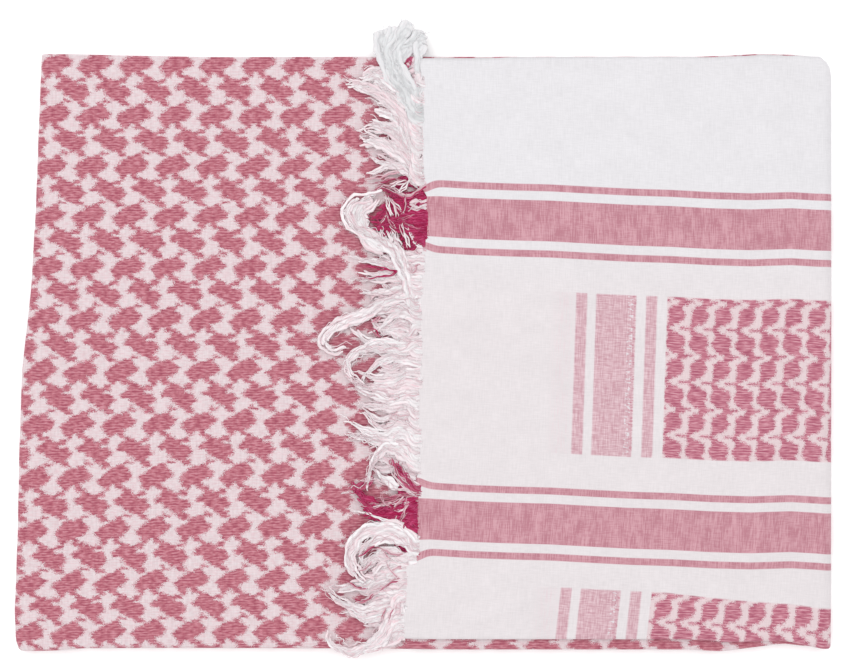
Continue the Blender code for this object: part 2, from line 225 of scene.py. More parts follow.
def lay(x, y, z):
    # Cloth is drawn straight, and this lays it as it lies, in metres.
    x, y, z = np.broadcast_arrays(np.asarray(x, float), y, z)
    reach, half = fold["foldReach"], fold["halfLength"]
    leftShare = np.clip((-x - reach) / (half - reach), 0.0, None)
    left = leftShare * np.interp(y, fold["leftY"], fold["leftInset"])
    rightShare = np.clip((x - reach) / (half - reach), 0.0, None)
    right = rightShare ** 4 * np.interp(y, fold["rightY"], fold["rightInset"])
    lowerShare = (fold["topEdge"] - y) / (fold["topEdge"] - fold["lowEdge"])
    rise = np.clip(lowerShare, 0.0, None) ** 2 * np.interp(x, fold["lowerX"], fold["lowerRise"])
    rise = rise + np.clip(1 - lowerShare, 0.0, 1.0) ** 6 * np.interp(x, fold["upperX"],
                                                                     fold["upperRise"])
    lift = np.clip((z - fold["cloth"]) / (fold["stripHeight"] - fold["cloth"]), 0.0, 1.0)
    upper = np.clip((z - fold["stripHeight"]) / 2.0, 0.0, 1.0)
    height = z + lift * swell(x, y) + upper * creaseHeight(x, y)
    return np.stack([x + left - right, y + rise, height], axis=-1) * mm


def endShift(x, y):
    # How far the fringed end's own line moves a point of the turned-over stretch.
    fade = np.clip(1 - np.clip(x, 0.0, None) / fold["endReach"], 0.0, None)
    return np.interp(y, fold["endY"], fold["endX"]) * fade


# Woven cloth surfaces

# The middle field's repeat, one weft a line and one warp pair a character.
fieldChart = [
    "...........#######......######..",
    "..................#############.",
    "#..............#################",
    "####........####################",
    "###.......######################",
    "##......########################",
    ".........######################.",
    "...........################.....",
    "............#######...######....",
    "..............####.....#########",
    "####.....######.............####",
    "###############............#####",
    "#########...............########",
    "################......##########",
    "#################......#########",
    "###################..........###",
    "##################............##",
    "..##############................",
    ".....#########................##",
    "####.....########............###",
]

# The border block's leaf repeat.
leafChart = [
    ".........#########..",
    "....##########......",
    ".#############......",
    ".##############.....",
    ".###############....",
    ".##############.....",
    ".#############......",
    ".##########.........",
    "######..............",
    "###........#########",
    "######..............",
    ".##########.........",
    ".##############.....",
    "################....",
    "################...#",
    "################...#",
    "##############......",
    "..#############.....",
    ".....###########....",
    "###.......##########",
]


def readChart(tree, chart, column, row):
    # Each row of the chart is a step of a ramp, which holds its cells as bits, eleven a channel.
    rows, columns = len(chart), len(chart[0])
    rowStep = chain(tree, row, ("FLOORED_MODULO", rows), ("FLOOR",), ("ADD", 0.5), ("DIVIDE", rows))
    ramp = addNode(tree, "ValToRGB", {}, {0: rowStep})
    steps = ramp.color_ramp
    steps.interpolation = "CONSTANT"
    steps.elements.remove(steps.elements[1])
    for k, line in enumerate(chart):
        codes = []
        for first in (0, 11, 22):
            cells = line[first:first + 11].ljust(11, ".")
            number = sum(2 ** (10 - place) for place, cell in enumerate(cells) if cell == "#")
            codes.append((number + 0.5) / 2048)
        step = steps.elements[0] if k == 0 else steps.elements.new(k / rows)
        step.color = (*codes, 1.0)
    split = addNode(tree, "SeparateColor", {}, {0: ramp})
    cell = chain(tree, column, ("FLOORED_MODULO", columns), ("FLOOR",))
    channel = chain(tree, cell, ("ADD", 0.5), ("DIVIDE", 11.0), ("FLOOR",))
    code = 0.0
    for k in range(3):
        chosen = calc(tree, "COMPARE", channel, k, 0.5)
        code = calc(tree, "MULTIPLY_ADD", chosen, split.outputs[k], code)
    place = chain(tree, channel, ("MULTIPLY_ADD", -11.0, cell), ("ADD", 1.0))
    power = calc(tree, "POWER", 2.0, place)
    return chain(tree, code, ("MULTIPLY", power), ("FLOOR",), ("FLOORED_MODULO", 2.0))


def clothPlace(tree, mapName="cloth"):
    # A piece's own map in millimetres: along the threads' run and across it.
    place = addNode(tree, "UVMap", {"uv_map": mapName})
    place = scaled(tree, place, 1 / mm)
    split = addNode(tree, "SeparateXYZ", {}, {0: place})
    return place, split.outputs[0], split.outputs[1]


def scatter(tree, place, column, row, alongCells, acrossCells):
    # Loose fibres: flecks 0.4 mm long take their colour from a little way off.
    fleck = addNode(tree, "VectorMath", {"operation": "SNAP"}, {0: place, 1: (0.4, 0.14, 1.0)})
    chance = addNode(tree, "TexWhiteNoise", {"noise_dimensions": "2D"}, {"Vector": fleck})
    chance = addNode(tree, "SeparateColor", {}, {0: chance.outputs["Color"]})
    moved = []
    for cell, amount, share in ((column, alongCells, 0), (row, acrossCells, 1)):
        start = calc(tree, "SUBTRACT", cell, amount / 2)
        moved.append(calc(tree, "MULTIPLY_ADD", chance.outputs[share], amount, start))
    return moved


def threadNoise(tree, place, alongSize, acrossSize, seed, detail=2.0):
    # Slubs: noise drawn out along the threads. Sizes are in millimetres.
    stretched = addNode(tree, "Mapping", {}, {
        0: place, "Location": (seed, seed * 1.7, 0.0),
        "Scale": (1 / alongSize, 1 / acrossSize, 1.0)})
    return addNode(tree, "TexNoise", {"noise_dimensions": "2D"},
                   {"Vector": stretched, "Scale": 1.0, "Detail": detail, "Roughness": 0.5})


def raggedEnds(tree, along, row, column, reach, cells):
    # Each weft starts and ends its floats a little early or late.
    place = addNode(tree, "CombineXYZ", {}, {0: along, 1: calc(tree, "FLOOR", row)})
    place = addNode(tree, "Mapping", {}, {0: place, "Scale": (reach, 1.37, 1.0)})
    ragged = addNode(tree, "TexNoise", {"noise_dimensions": "2D"},
                     {"Vector": place, "Scale": 1.0, "Detail": 1.0})
    return calc(tree, "MULTIPLY_ADD", ragged, cells, column)


def dyedWefts(tree, row, slub, deep, middle, pale):
    # Each weft is unevenly dyed, and palest between two wefts, where the white warp shows.
    phase = chain(tree, row, ("FRACT",), ("SUBTRACT", 0.5), ("ABSOLUTE",))
    between = calc(tree, "MULTIPLY_ADD", phase, 0.34, slub)
    dyed = addNode(tree, "ValToRGB", {}, {0: between})
    steps = dyed.color_ramp.elements
    steps[0].position, steps[0].color = 0.4, linear(deep)
    steps[1].position, steps[1].color = 0.8, linear(pale)
    steps.new(0.58).color = linear(middle)
    return phase, between, dyed


def setBump(tree, shader, height, strength):
    bump = addNode(tree, "Bump", {}, {"Strength": strength, "Distance": 0.25 * mm,
                                      "Height": height})
    tree.links.new(bump.outputs[0], shader.inputs["Normal"])


def weaveBump(tree, shader, along, across, pitch, extra, strength):
    # Plain weave: threads cross over and under each other, and raised floats stand proud.
    waves = [chain(tree, source, ("MULTIPLY_ADD", 2 * math.pi / pitch, shift), ("SINE",))
             for source, shift in ((along, 0.0), (across, math.pi / 2))]
    height = chain(tree, waves[0], ("MULTIPLY", waves[1]), ("MULTIPLY_ADD", 0.18, extra))
    setBump(tree, shader, height, strength)


figured = dict(
    columnWidth=0.636, rowHeight=1.255, skew=0.043, originAlong=161.25, originAcross=40.35,
    raggedReach=0.12, raggedCells=4.0, crowdedCells=2.4, looseCells=(3.2, 0.95),
    # Each noise: its size along and across the threads, and its seed.
    crowd=(9.0, 5.0, 41.3), slub=(3.2, 0.8, 3.1), grain=(0.9, 5.0, 8.3),
    # Each tone: the range of its noise and what it is moved to.
    shadeTone=(0.45, 0.8, 0.0, 0.6), grainTone=(0.3, 0.7, 0.95, 1.05),
    ridge=(0.15, 0.5, 0.7, 0.0), slubHeight=0.3,
    redDeep="#94495a", red="#a8636f", redPale="#ba7f8a", white="#cdc0c3", whiteShade="#c8a8ae",
    threadPitch=0.62, bump=0.2, sheen=0.06, roughness=0.9,
)


def makeFiguredCotton():
    # Yarn-dyed cotton with a floated weft figure: matt, with soft ridges along each weft.
    size = figured
    surface, tree, shader = newSurface("yarn-dyed cotton with weft figure", size["roughness"],
                                       size["sheen"])
    place, along, across = clothPlace(tree)
    figureAcross = calc(tree, "ADD", across, size["originAcross"])
    row = calc(tree, "DIVIDE", figureAcross, size["rowHeight"])
    column = chain(tree, figureAcross, ("MULTIPLY_ADD", size["skew"], along),
                   ("ADD", size["originAlong"]), ("DIVIDE", size["columnWidth"]))
    column = raggedEnds(tree, along, row, column, size["raggedReach"], size["raggedCells"])
    column = calc(tree, "SUBTRACT", column, size["raggedCells"] / 2)
    # Some rows draw together.
    crowded = threadNoise(tree, place, *size["crowd"], detail=1.0)
    crowded = chain(tree, crowded, ("MULTIPLY_ADD", size["crowdedCells"], row),
                    ("SUBTRACT", size["crowdedCells"] / 2))
    column, crowded = scatter(tree, place, column, crowded, *size["looseCells"])
    figure = readChart(tree, fieldChart, column, crowded)
    slub = threadNoise(tree, place, *size["slub"])
    grain = threadNoise(tree, place, *size["grain"])
    phase, between, dyed = dyedWefts(tree, row, slub, size["redDeep"], size["red"],
                                     size["redPale"])
    # The white ground darkens to a pinkish grey towards each weft's edges, painted shade between
    # wefts, and unevenly with the slubs.
    shade = remap(tree, between, *size["shadeTone"])
    white = mixed(tree, shade, size["white"], size["whiteShade"])
    colour = mixed(tree, figure, white, dyed)
    colour = scaled(tree, colour, remap(tree, grain, *size["grainTone"]))
    tree.links.new(colour.outputs[0], shader.inputs["Base Color"])
    ridge = calc(tree, "MULTIPLY_ADD", slub, size["slubHeight"],
                 remap(tree, phase, *size["ridge"], soft=True))
    weaveBump(tree, shader, along, across, size["threadPitch"], ridge, size["bump"])
    return surface


banded = dict(
    stripeCentres=(79.35, 230.6), wideHalf=10.2, thinCentre=16.5, thinHalf=1.75,
    # The blocks' edges across the strip. The next block's top sinks towards the right fold.
    blockTop=114.4, blockLow=195.0, nextBlockTop=262.0, sunkFrom=125.0, sunkTo=205.0, sunk=4.8,
    bars=((76.75, 82.25), (86.75, 106.75), (111.75, 117.25)), hazeSpan=(66.0, 76.0),
    leafStart=122.25, leafColumn=1.0, rowHeight=1.34, columnWidth=0.585,
    # The chart's first row in each block, and how far the next block's columns are moved.
    firstRow=18.0, nextRow=-1.6, nextFrom=228.0, nextColumns=-3.2,
    raggedReach=0.15, raggedCells=3.0, looseCells=(2.6, 1.2), leafHeight=0.4,
    # How wide each kind of edge fades.
    stripeEdge=0.2, blockEdge=0.4, barEdge=0.5, leafEdge=0.3, hazeEdge=4.0,
    # Each noise: its size along and across the threads, and its seed.
    ends=(0.55, 7.0, 4.4), picks=(5.0, 0.6, 9.9), patch=(5.0, 12.0, 6.1),
    cloud=(20.0, 14.0, 2.2),
    # Each tone: the range of its noise and what it is moved to.
    hazeTone=(0.4, 0.75, 0.0, 0.9), warmTone=(50.0, 130.0), stripeTone=(0.78, 1.22),
    barTone=(0.75, 1.3), grainTone=(0.6, 1.4, 0.94, 1.055), cloudTone=(0.3, 0.7, 0.985, 1.01),
    # Floats end unevenly along the wide bar's far side, in small dark ticks and white flecks.
    ticks=((104.6, 106.9, 5.2, "leaf", 0.6), (102.6, 105.4, 8.8, "white", 0.8)),
    tickSize=(2.4, 0.9), tickTone=(0.56, 0.66, 0.0),
    white="#cfcdd0", whiteWarm="#cfc9cb", stripe="#c4969f", stripeDeep="#a8727e",
    bar="#b88e98", barPale="#cab0b6", leafDeep="#9a5065", leaf="#ad6a7a", leafPale="#c18e99",
    leafWhite="#cdbabd", haze="#cbbcc0", threadPitch=0.62, bump=0.15, sheen=0.06, roughness=0.9,
)


def spanMask(tree, source, low, high, edge=0.25):
    # One between low and high, fading over the edge.
    rising = remap(tree, source, low - edge, low + edge, soft=True)
    falling = remap(tree, source, high - edge, high + edge, 1.0, 0.0, soft=True)
    return calc(tree, "MULTIPLY", rising, falling)


def makeBandedCotton():
    # The same cotton in plain weave with dyed bands: matt, with fine thread lines.
    size = banded
    surface, tree, shader = newSurface("plain-weave cotton with dyed bands", size["roughness"],
                                       size["sheen"])
    place, along, across = clothPlace(tree)
    ends = threadNoise(tree, place, *size["ends"])
    picks = threadNoise(tree, place, *size["picks"])

    # Bands along the strip, each a wide stripe between two thin ones.
    nearest = joined(tree, "MINIMUM", [
        chain(tree, across, ("SUBTRACT", centre), ("ABSOLUTE",))
        for centre in size["stripeCentres"]])
    edge = size["stripeEdge"]
    wide = remap(tree, nearest, size["wideHalf"] - edge, size["wideHalf"] + edge, 1.0, 0.0,
                 soft=True)
    thin = spanMask(tree, nearest, size["thinCentre"] - size["thinHalf"],
                    size["thinCentre"] + size["thinHalf"])
    stripes = calc(tree, "MAXIMUM", wide, thin)

    # Blocks across the strip: three bars and a field of leaves.
    edge = size["blockEdge"]
    firstBlock = spanMask(tree, across, size["blockTop"], size["blockLow"], edge)
    sunk = remap(tree, along, size["sunkFrom"], size["sunkTo"], 0.0, -size["sunk"])
    sunk = calc(tree, "ADD", across, sunk)
    nextBlock = remap(tree, sunk, size["nextBlockTop"] - edge, size["nextBlockTop"] + edge)
    blocks = calc(tree, "MAXIMUM", firstBlock, nextBlock)
    bars = joined(tree, "MAXIMUM", [
        spanMask(tree, along, low, high, size["barEdge"]) for low, high in size["bars"]])
    bars = calc(tree, "MULTIPLY", bars, blocks)
    lowered = calc(tree, "GREATER_THAN", across, size["nextFrom"])
    top, nextTop = (size[key] / size["rowHeight"] for key in ("blockTop", "nextBlockTop"))
    row = calc(tree, "MULTIPLY_ADD", across, 1 / size["rowHeight"], size["firstRow"] - top)
    rowShift = size["nextRow"] - size["firstRow"] + top - nextTop
    row = calc(tree, "MULTIPLY_ADD", lowered, rowShift, row)
    column = chain(tree, along, ("SUBTRACT", size["leafStart"] + size["leafColumn"]),
                   ("DIVIDE", size["columnWidth"]))
    column = calc(tree, "MULTIPLY_ADD", lowered, size["nextColumns"], column)
    column = raggedEnds(tree, along, row, column, size["raggedReach"], size["raggedCells"])
    leaves = readChart(tree, leafChart, *scatter(tree, place, column, row, *size["looseCells"]))
    edge = size["leafEdge"]
    leafField = remap(tree, along, size["leafStart"] - edge, size["leafStart"] + edge)
    leafField = calc(tree, "MULTIPLY", leafField, blocks)

    # Colours, from the ground up.
    haze = joined(tree, "MULTIPLY", [
        spanMask(tree, along, *size["hazeSpan"], size["hazeEdge"]), blocks,
        remap(tree, ends, *size["hazeTone"])])
    warmth = remap(tree, across, *size["warmTone"], soft=True)
    colour = mixed(tree, warmth, size["white"], size["whiteWarm"])
    colour = mixed(tree, haze, colour, size["haze"])
    patch = threadNoise(tree, place, *size["patch"], detail=1.0)
    stripeTone = calc(tree, "MULTIPLY_ADD", picks, 0.6, ends)
    stripeTone = calc(tree, "MULTIPLY_ADD", patch, 0.45, stripeTone)
    stripeTone = remap(tree, stripeTone, *size["stripeTone"])
    colour = mixed(tree, stripes, colour,
                   mixed(tree, stripeTone, size["stripe"], size["stripeDeep"]))
    threads = calc(tree, "ADD", picks, ends)
    barTone = remap(tree, threads, *size["barTone"])
    colour = mixed(tree, bars, colour, mixed(tree, barTone, size["bar"], size["barPale"]))
    for low, high, seed, key, share in size["ticks"]:
        tick = threadNoise(tree, place, *size["tickSize"], seed, detail=1.0)
        tick = remap(tree, tick, *size["tickTone"], share, soft=True)
        tick = joined(tree, "MULTIPLY", [tick, blocks, spanMask(tree, along, low, high, edge)])
        colour = mixed(tree, tick, colour, size[key])
    dyed = dyedWefts(tree, row, picks, size["leafDeep"], size["leaf"], size["leafPale"])[2]
    colour = mixed(tree, leafField, colour, mixed(tree, leaves, size["leafWhite"], dyed))
    grain = remap(tree, threads, *size["grainTone"])
    cloud = threadNoise(tree, place, *size["cloud"], detail=1.0)
    for tone in (grain, remap(tree, cloud, *size["cloudTone"])):
        colour = scaled(tree, colour, tone)
    tree.links.new(colour.outputs[0], shader.inputs["Base Color"])
    raised = chain(tree, leafField, ("MULTIPLY", leaves),
                   ("MULTIPLY_ADD", size["leafHeight"], grain))
    weaveBump(tree, shader, along, across, size["threadPitch"], raised, size["bump"])
    return surface


figuredCotton = makeFiguredCotton()
bandedCotton = makeBandedCotton()
print("cloth surfaces made")


# Cloth sheets

sheets = dict(
    thickness=0.75, selvedgeRoll=0.475, foldedRoll=1.45, flapRoll=1.3, tuck=7.0,
    fieldPitch=3.0, flapPitch=2.5, hiddenPitch=8.0, finePart=16.0, bendSteps=13, rollStep=30.0,
    tuckStart=3.0,
    # Where each sheet's upper and lower legs end along the strip.
    fieldEnds=(196.75, -3.0), flapEnds=(0.0, 3.0), insideEnds=((193.0, -4.0), (1.6, 4.0)),
    # How far inside the strip's outer face each layer's middle lies.
    stripInsets=(0.4, 1.35, 2.3, 3.3), flapInsets=(0.4, 1.3, 2.2, 3.1),
)


def foldLine(upperEnd, lowerEnd, side, height, inset, pitch, fineEnd=False):
    # A sheet's middle line along the strip: its upper leg, its fold and its leg underneath.
    middle = height / 2
    radius = middle - inset
    centre = side * (fold["halfLength"] - middle)
    upper = np.linspace(upperEnd, centre, int(abs(centre - upperEnd) / pitch) + 2)[:-1]
    if fineEnd:
        fine = sheets["finePart"]
        upper = np.concatenate([upperEnd + np.arange(0.0, fine, 1.0),
                                upper[upper > upperEnd + fine + 1]])
    angle = np.linspace(0.0, math.pi, sheets["bendSteps"])
    lower = np.linspace(centre, lowerEnd, int(abs(centre - lowerEnd) / (2 * pitch)) + 2)[1:]
    x = np.concatenate([upper, centre + side * radius * np.sin(angle), lower])
    z = np.concatenate([np.full(len(upper), height - inset), middle + radius * np.cos(angle),
                        np.full(len(lower), inset)])
    inX = np.concatenate([np.zeros(len(upper)), -side * np.sin(angle), np.zeros(len(lower))])
    inZ = np.concatenate([np.full(len(upper), -1.0), -np.cos(angle), np.ones(len(lower))])
    length = np.concatenate([[0.0], np.cumsum(np.hypot(np.diff(x), np.diff(z)))])
    return dict(x=x, z=z, inX=inX, inZ=inZ, length=length, bend=len(upper), side=side)


def crossLine(low, high, pitch, lowRoll=0.0, highRoll=0.0):
    # Rows across a sheet. A rolled edge turns inwards and ends in a tuck.
    half = sheets["thickness"] / 2
    flatLow = low + lowRoll + half if lowRoll else low
    flatHigh = high - highRoll - half if highRoll else high
    y = np.linspace(flatLow, flatHigh, int((flatHigh - flatLow) / pitch) + 2)
    inset = np.zeros(len(y))
    angle = np.radians(np.arange(sheets["rollStep"], 181.0, sheets["rollStep"]))
    tucks = sheets["tuckStart"], sheets["tuck"]
    if highRoll:
        y = np.concatenate([y, flatHigh + highRoll * np.sin(angle),
                            [flatHigh - tucks[0], flatHigh - tucks[1]]])
        inset = np.concatenate([inset, highRoll * (1 - np.cos(angle)), [2 * highRoll] * 2])
    if lowRoll:
        y = np.concatenate([[flatLow + tucks[1], flatLow + tucks[0]],
                            (flatLow - lowRoll * np.sin(angle))[::-1], y])
        inset = np.concatenate([[2 * lowRoll] * 2, (lowRoll * (1 - np.cos(angle)))[::-1], inset])
    length = np.concatenate([[0.0], np.cumsum(np.hypot(np.diff(y), np.diff(inset)))])
    return dict(y=y, inset=inset, length=length, flatLow=flatLow, flatHigh=flatHigh)


fieldDrift = dict(
    y=(-117.4, -87.4, -57.4, -27.4, 2.6, 32.6, 62.6, 92.6, 122.6, 140.0),
    along=(2.4, 2.4, 2.0, 1.3, 0.8, 0.3, 0.3, 0.4, 0.2, 0.2),
    across=(-5.7, -4.1, -2.5, -1.2, -0.5, 0.7, 1.3, 1.0, 1.6, 2.2),
    leanY=(-117.4, -57.4, 0.0), lean=(0.022, 0.022, 0.0), leanFrom=-114.0,
    # Under the turned-over stretch the lowest rows have slid towards the right fold.
    slidX=(-16.0, 2.0), slid=6.0, slidTop=-130.0, slidWidth=10.0,
)


def fieldMap(x, y):
    # The field's rows spread and sink a little towards the lower edge.
    along = np.interp(y, fieldDrift["y"], fieldDrift["along"])
    across = np.interp(y, fieldDrift["y"], fieldDrift["across"])
    lean = np.interp(y, fieldDrift["leanY"], fieldDrift["lean"])
    slid = np.interp(x, fieldDrift["slidX"], (0.0, fieldDrift["slid"]))
    low = np.clip((fieldDrift["slidTop"] - y) / fieldDrift["slidWidth"], 0.0, 1.0)
    along = along - slid * low
    return x + along, across + lean * (x - fieldDrift["leanFrom"]) - y


bandDrift = dict(
    x=(3.75, 23.75, 43.75, 63.75, 83.75, 103.75, 123.75, 143.75, 163.75, 183.75, 203.75),
    drop=(0.0, 1.25, 2.0, 2.5, 3.6, 4.6, 5.2, 6.3, 6.9, 6.3, 7.5),
    y=(-151.0, -126.4, -56.4, 18.65), shift=(-10.5, -7.75, -2.5, 0.0),
)


def bandMap(x, y):
    # The bands drift down towards the right fold, and the blocks lean.
    drop = np.interp(x, bandDrift["x"], bandDrift["drop"])
    shift = np.interp(y, bandDrift["y"], bandDrift["shift"])
    return x - shift, fold["flapTopEdge"] - y - drop


def onTop(line):
    # Which of a sheet's rows along the strip lie on its upper leg.
    return line["z"][:, None] > line["z"].max() - 0.1


def newPiece(name, corners, faces, mapName, places, surface):
    mesh = bpy.data.meshes.new(name)
    mesh.from_pydata(corners.tolist(), [], faces)
    uvLayer = mesh.uv_layers.new(name=mapName)
    uvLayer.data.foreach_set("uv", places.astype(np.float32).reshape(-1))
    mesh.materials.append(surface)
    mesh.shade_smooth()
    piece = bpy.data.objects.new(name, mesh)
    bpy.context.collection.objects.link(piece)
    return piece


def buildSheet(name, line, rows, mapping, surface, move=None):
    stationX, rowY = line["x"][:, None], rows["y"][None, :]
    x = stationX + rows["inset"][None, :] * line["inX"][:, None]
    z = line["z"][:, None] + rows["inset"][None, :] * line["inZ"][:, None]
    y = np.broadcast_to(rowY, x.shape)
    if move:
        x, y = move(x, y, line)
    points = lay(x, y, z)

    # The map follows the cloth as it lies on top, and goes on by length round folds and rolls.
    flatY = np.clip(rowY, rows["flatLow"], rows["flatHigh"])
    flatX = stationX + 0 * flatY
    if move:
        flatX = flatX + endShift(flatX, flatY) * onTop(line)
    bend = line["bend"]
    laid = lay(np.where(np.arange(len(flatX))[:, None] < bend, flatX, flatX[bend - 1]), flatY,
               line["z"].max()) / mm
    u, v = mapping(laid[..., 0], laid[..., 1])
    beyond = np.clip(line["length"] - line["length"][bend - 1], 0.0, None)
    u = u + line["side"] * beyond[:, None]
    rowLength = np.interp(flatY[0], *flatPart(rows))
    v = v - (rows["length"] - rowLength)[None, :]

    count, width = x.shape
    index = np.arange(count * width).reshape(count, width)
    quads = np.stack([index[:-1, :-1], index[1:, :-1], index[1:, 1:], index[:-1, 1:]], axis=-1)
    if line["side"] < 0:
        quads = quads[..., ::-1]
    quads = quads.reshape(-1, 4)
    places = np.stack([u, v], axis=-1).reshape(-1, 2)[quads.reshape(-1)] * mm
    piece = newPiece(name, points.reshape(-1, 3), quads.tolist(), "cloth", places, surface)
    bpy.context.view_layer.objects.active = piece
    thicken = piece.modifiers.new("cloth thickness", "SOLIDIFY")
    thicken.thickness = sheets["thickness"] * mm
    thicken.offset = 0.0
    thicken.use_even_offset = True
    bpy.ops.object.modifier_apply(modifier=thicken.name)
    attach(piece, "root")
    flat = (rows["length"][-1] * mm, line["length"][-1] * mm)
    return piece, flat


def flatPart(rows):
    # The flat rows' places and their lengths along the cross line.
    flat = (rows["inset"] == 0.0) & (rows["y"] >= rows["flatLow"]) & (rows["y"] <= rows["flatHigh"])
    return rows["y"][flat], rows["length"][flat]


# The turned-over stretch's fringed end is drawn in between its locks, in small scallops, and
# near it each stripe's warp is pulled aside. Its lower edge steps out on its way to the fold.
flapEnd = dict(
    fade=4.5, drawnIn=0.6, scallop=1.1, scallopHalf=1.5, stepLength=60.0, stepWidth=20.0,
    dropWidth=12.0,
)
pulls = [
    dict(y=77.6, along=-3.6, width=4.6),
    dict(y=43.8, along=2.6, width=3.6),
    dict(y=-73.4, along=3.0, width=4.0),
    dict(y=-107.6, along=-3.0, width=4.0),
]


def moveInside(x, y, line):
    return x + endShift(x, y) * onTop(line), np.array(y, float)


def moveFlap(x, y, line):
    # The turned-over stretch keeps to the fringed end's line and to the strip's own edge.
    x, moved = moveInside(x, y, line)
    upper, stationX = onTop(line), line["x"][:, None]
    near = np.exp(-(np.clip(stationX, 0.0, None) / flapEnd["fade"]) ** 2) * upper
    scallop = np.zeros(x.shape)
    for lock in whiteLocks + crimsonLocks:
        scallop += np.exp(-((y - lock["path"][0][1]) / flapEnd["scallopHalf"]) ** 2)
    x = x + near * (flapEnd["drawnIn"] - flapEnd["scallop"] * np.clip(scallop, 0.0, 1.0))
    for pull in pulls:
        moved = moved + near * pull["along"] * np.exp(-((y - pull["y"]) / pull["width"]) ** 2)
    start = fold["halfLength"] - flapEnd["stepLength"]
    stop = fold["halfLength"] - fold["flapHeight"] / 2
    share = np.clip((stationX - start) / (stop - start), 0.0, 1.0)
    share = np.where(line["z"][:, None] > fold["flapHeight"] / 2, share, 1.0)
    stepOut = share * (fold["lowEdge"] - fold["flapLowEdge"])
    width = flapEnd["stepWidth"]
    reach = np.clip((fold["flapLowEdge"] + width - y) / width, 0.0, 1.0)
    width = flapEnd["dropWidth"]
    nearTop = np.clip((y - fold["flapTopEdge"] + width) / width, 0.0, 1.0)
    drop = np.interp(stationX, fold["flapX"], fold["flapDrop"]) * nearTop * upper
    return x, moved + stepOut * reach - drop


# The fringe: locks of loose warp ends. Each lock's path runs from the cloth's edge to its tip.
# Lift is how far it lies above its level, tip is its tip's share of its width, and dye is how
# much of it is crimson, where a small share on a white lock is painted pink shade.


def lockTable(*rows):
    # Each row is a lock's width, lift, tip and dye share, then its path as x, y, x, y and so on.
    return [dict(width=width, lift=lift, tip=tip, dye=dye,
                 path=list(zip(places[::2], places[1::2])))
            for width, lift, tip, dye, *places in rows]


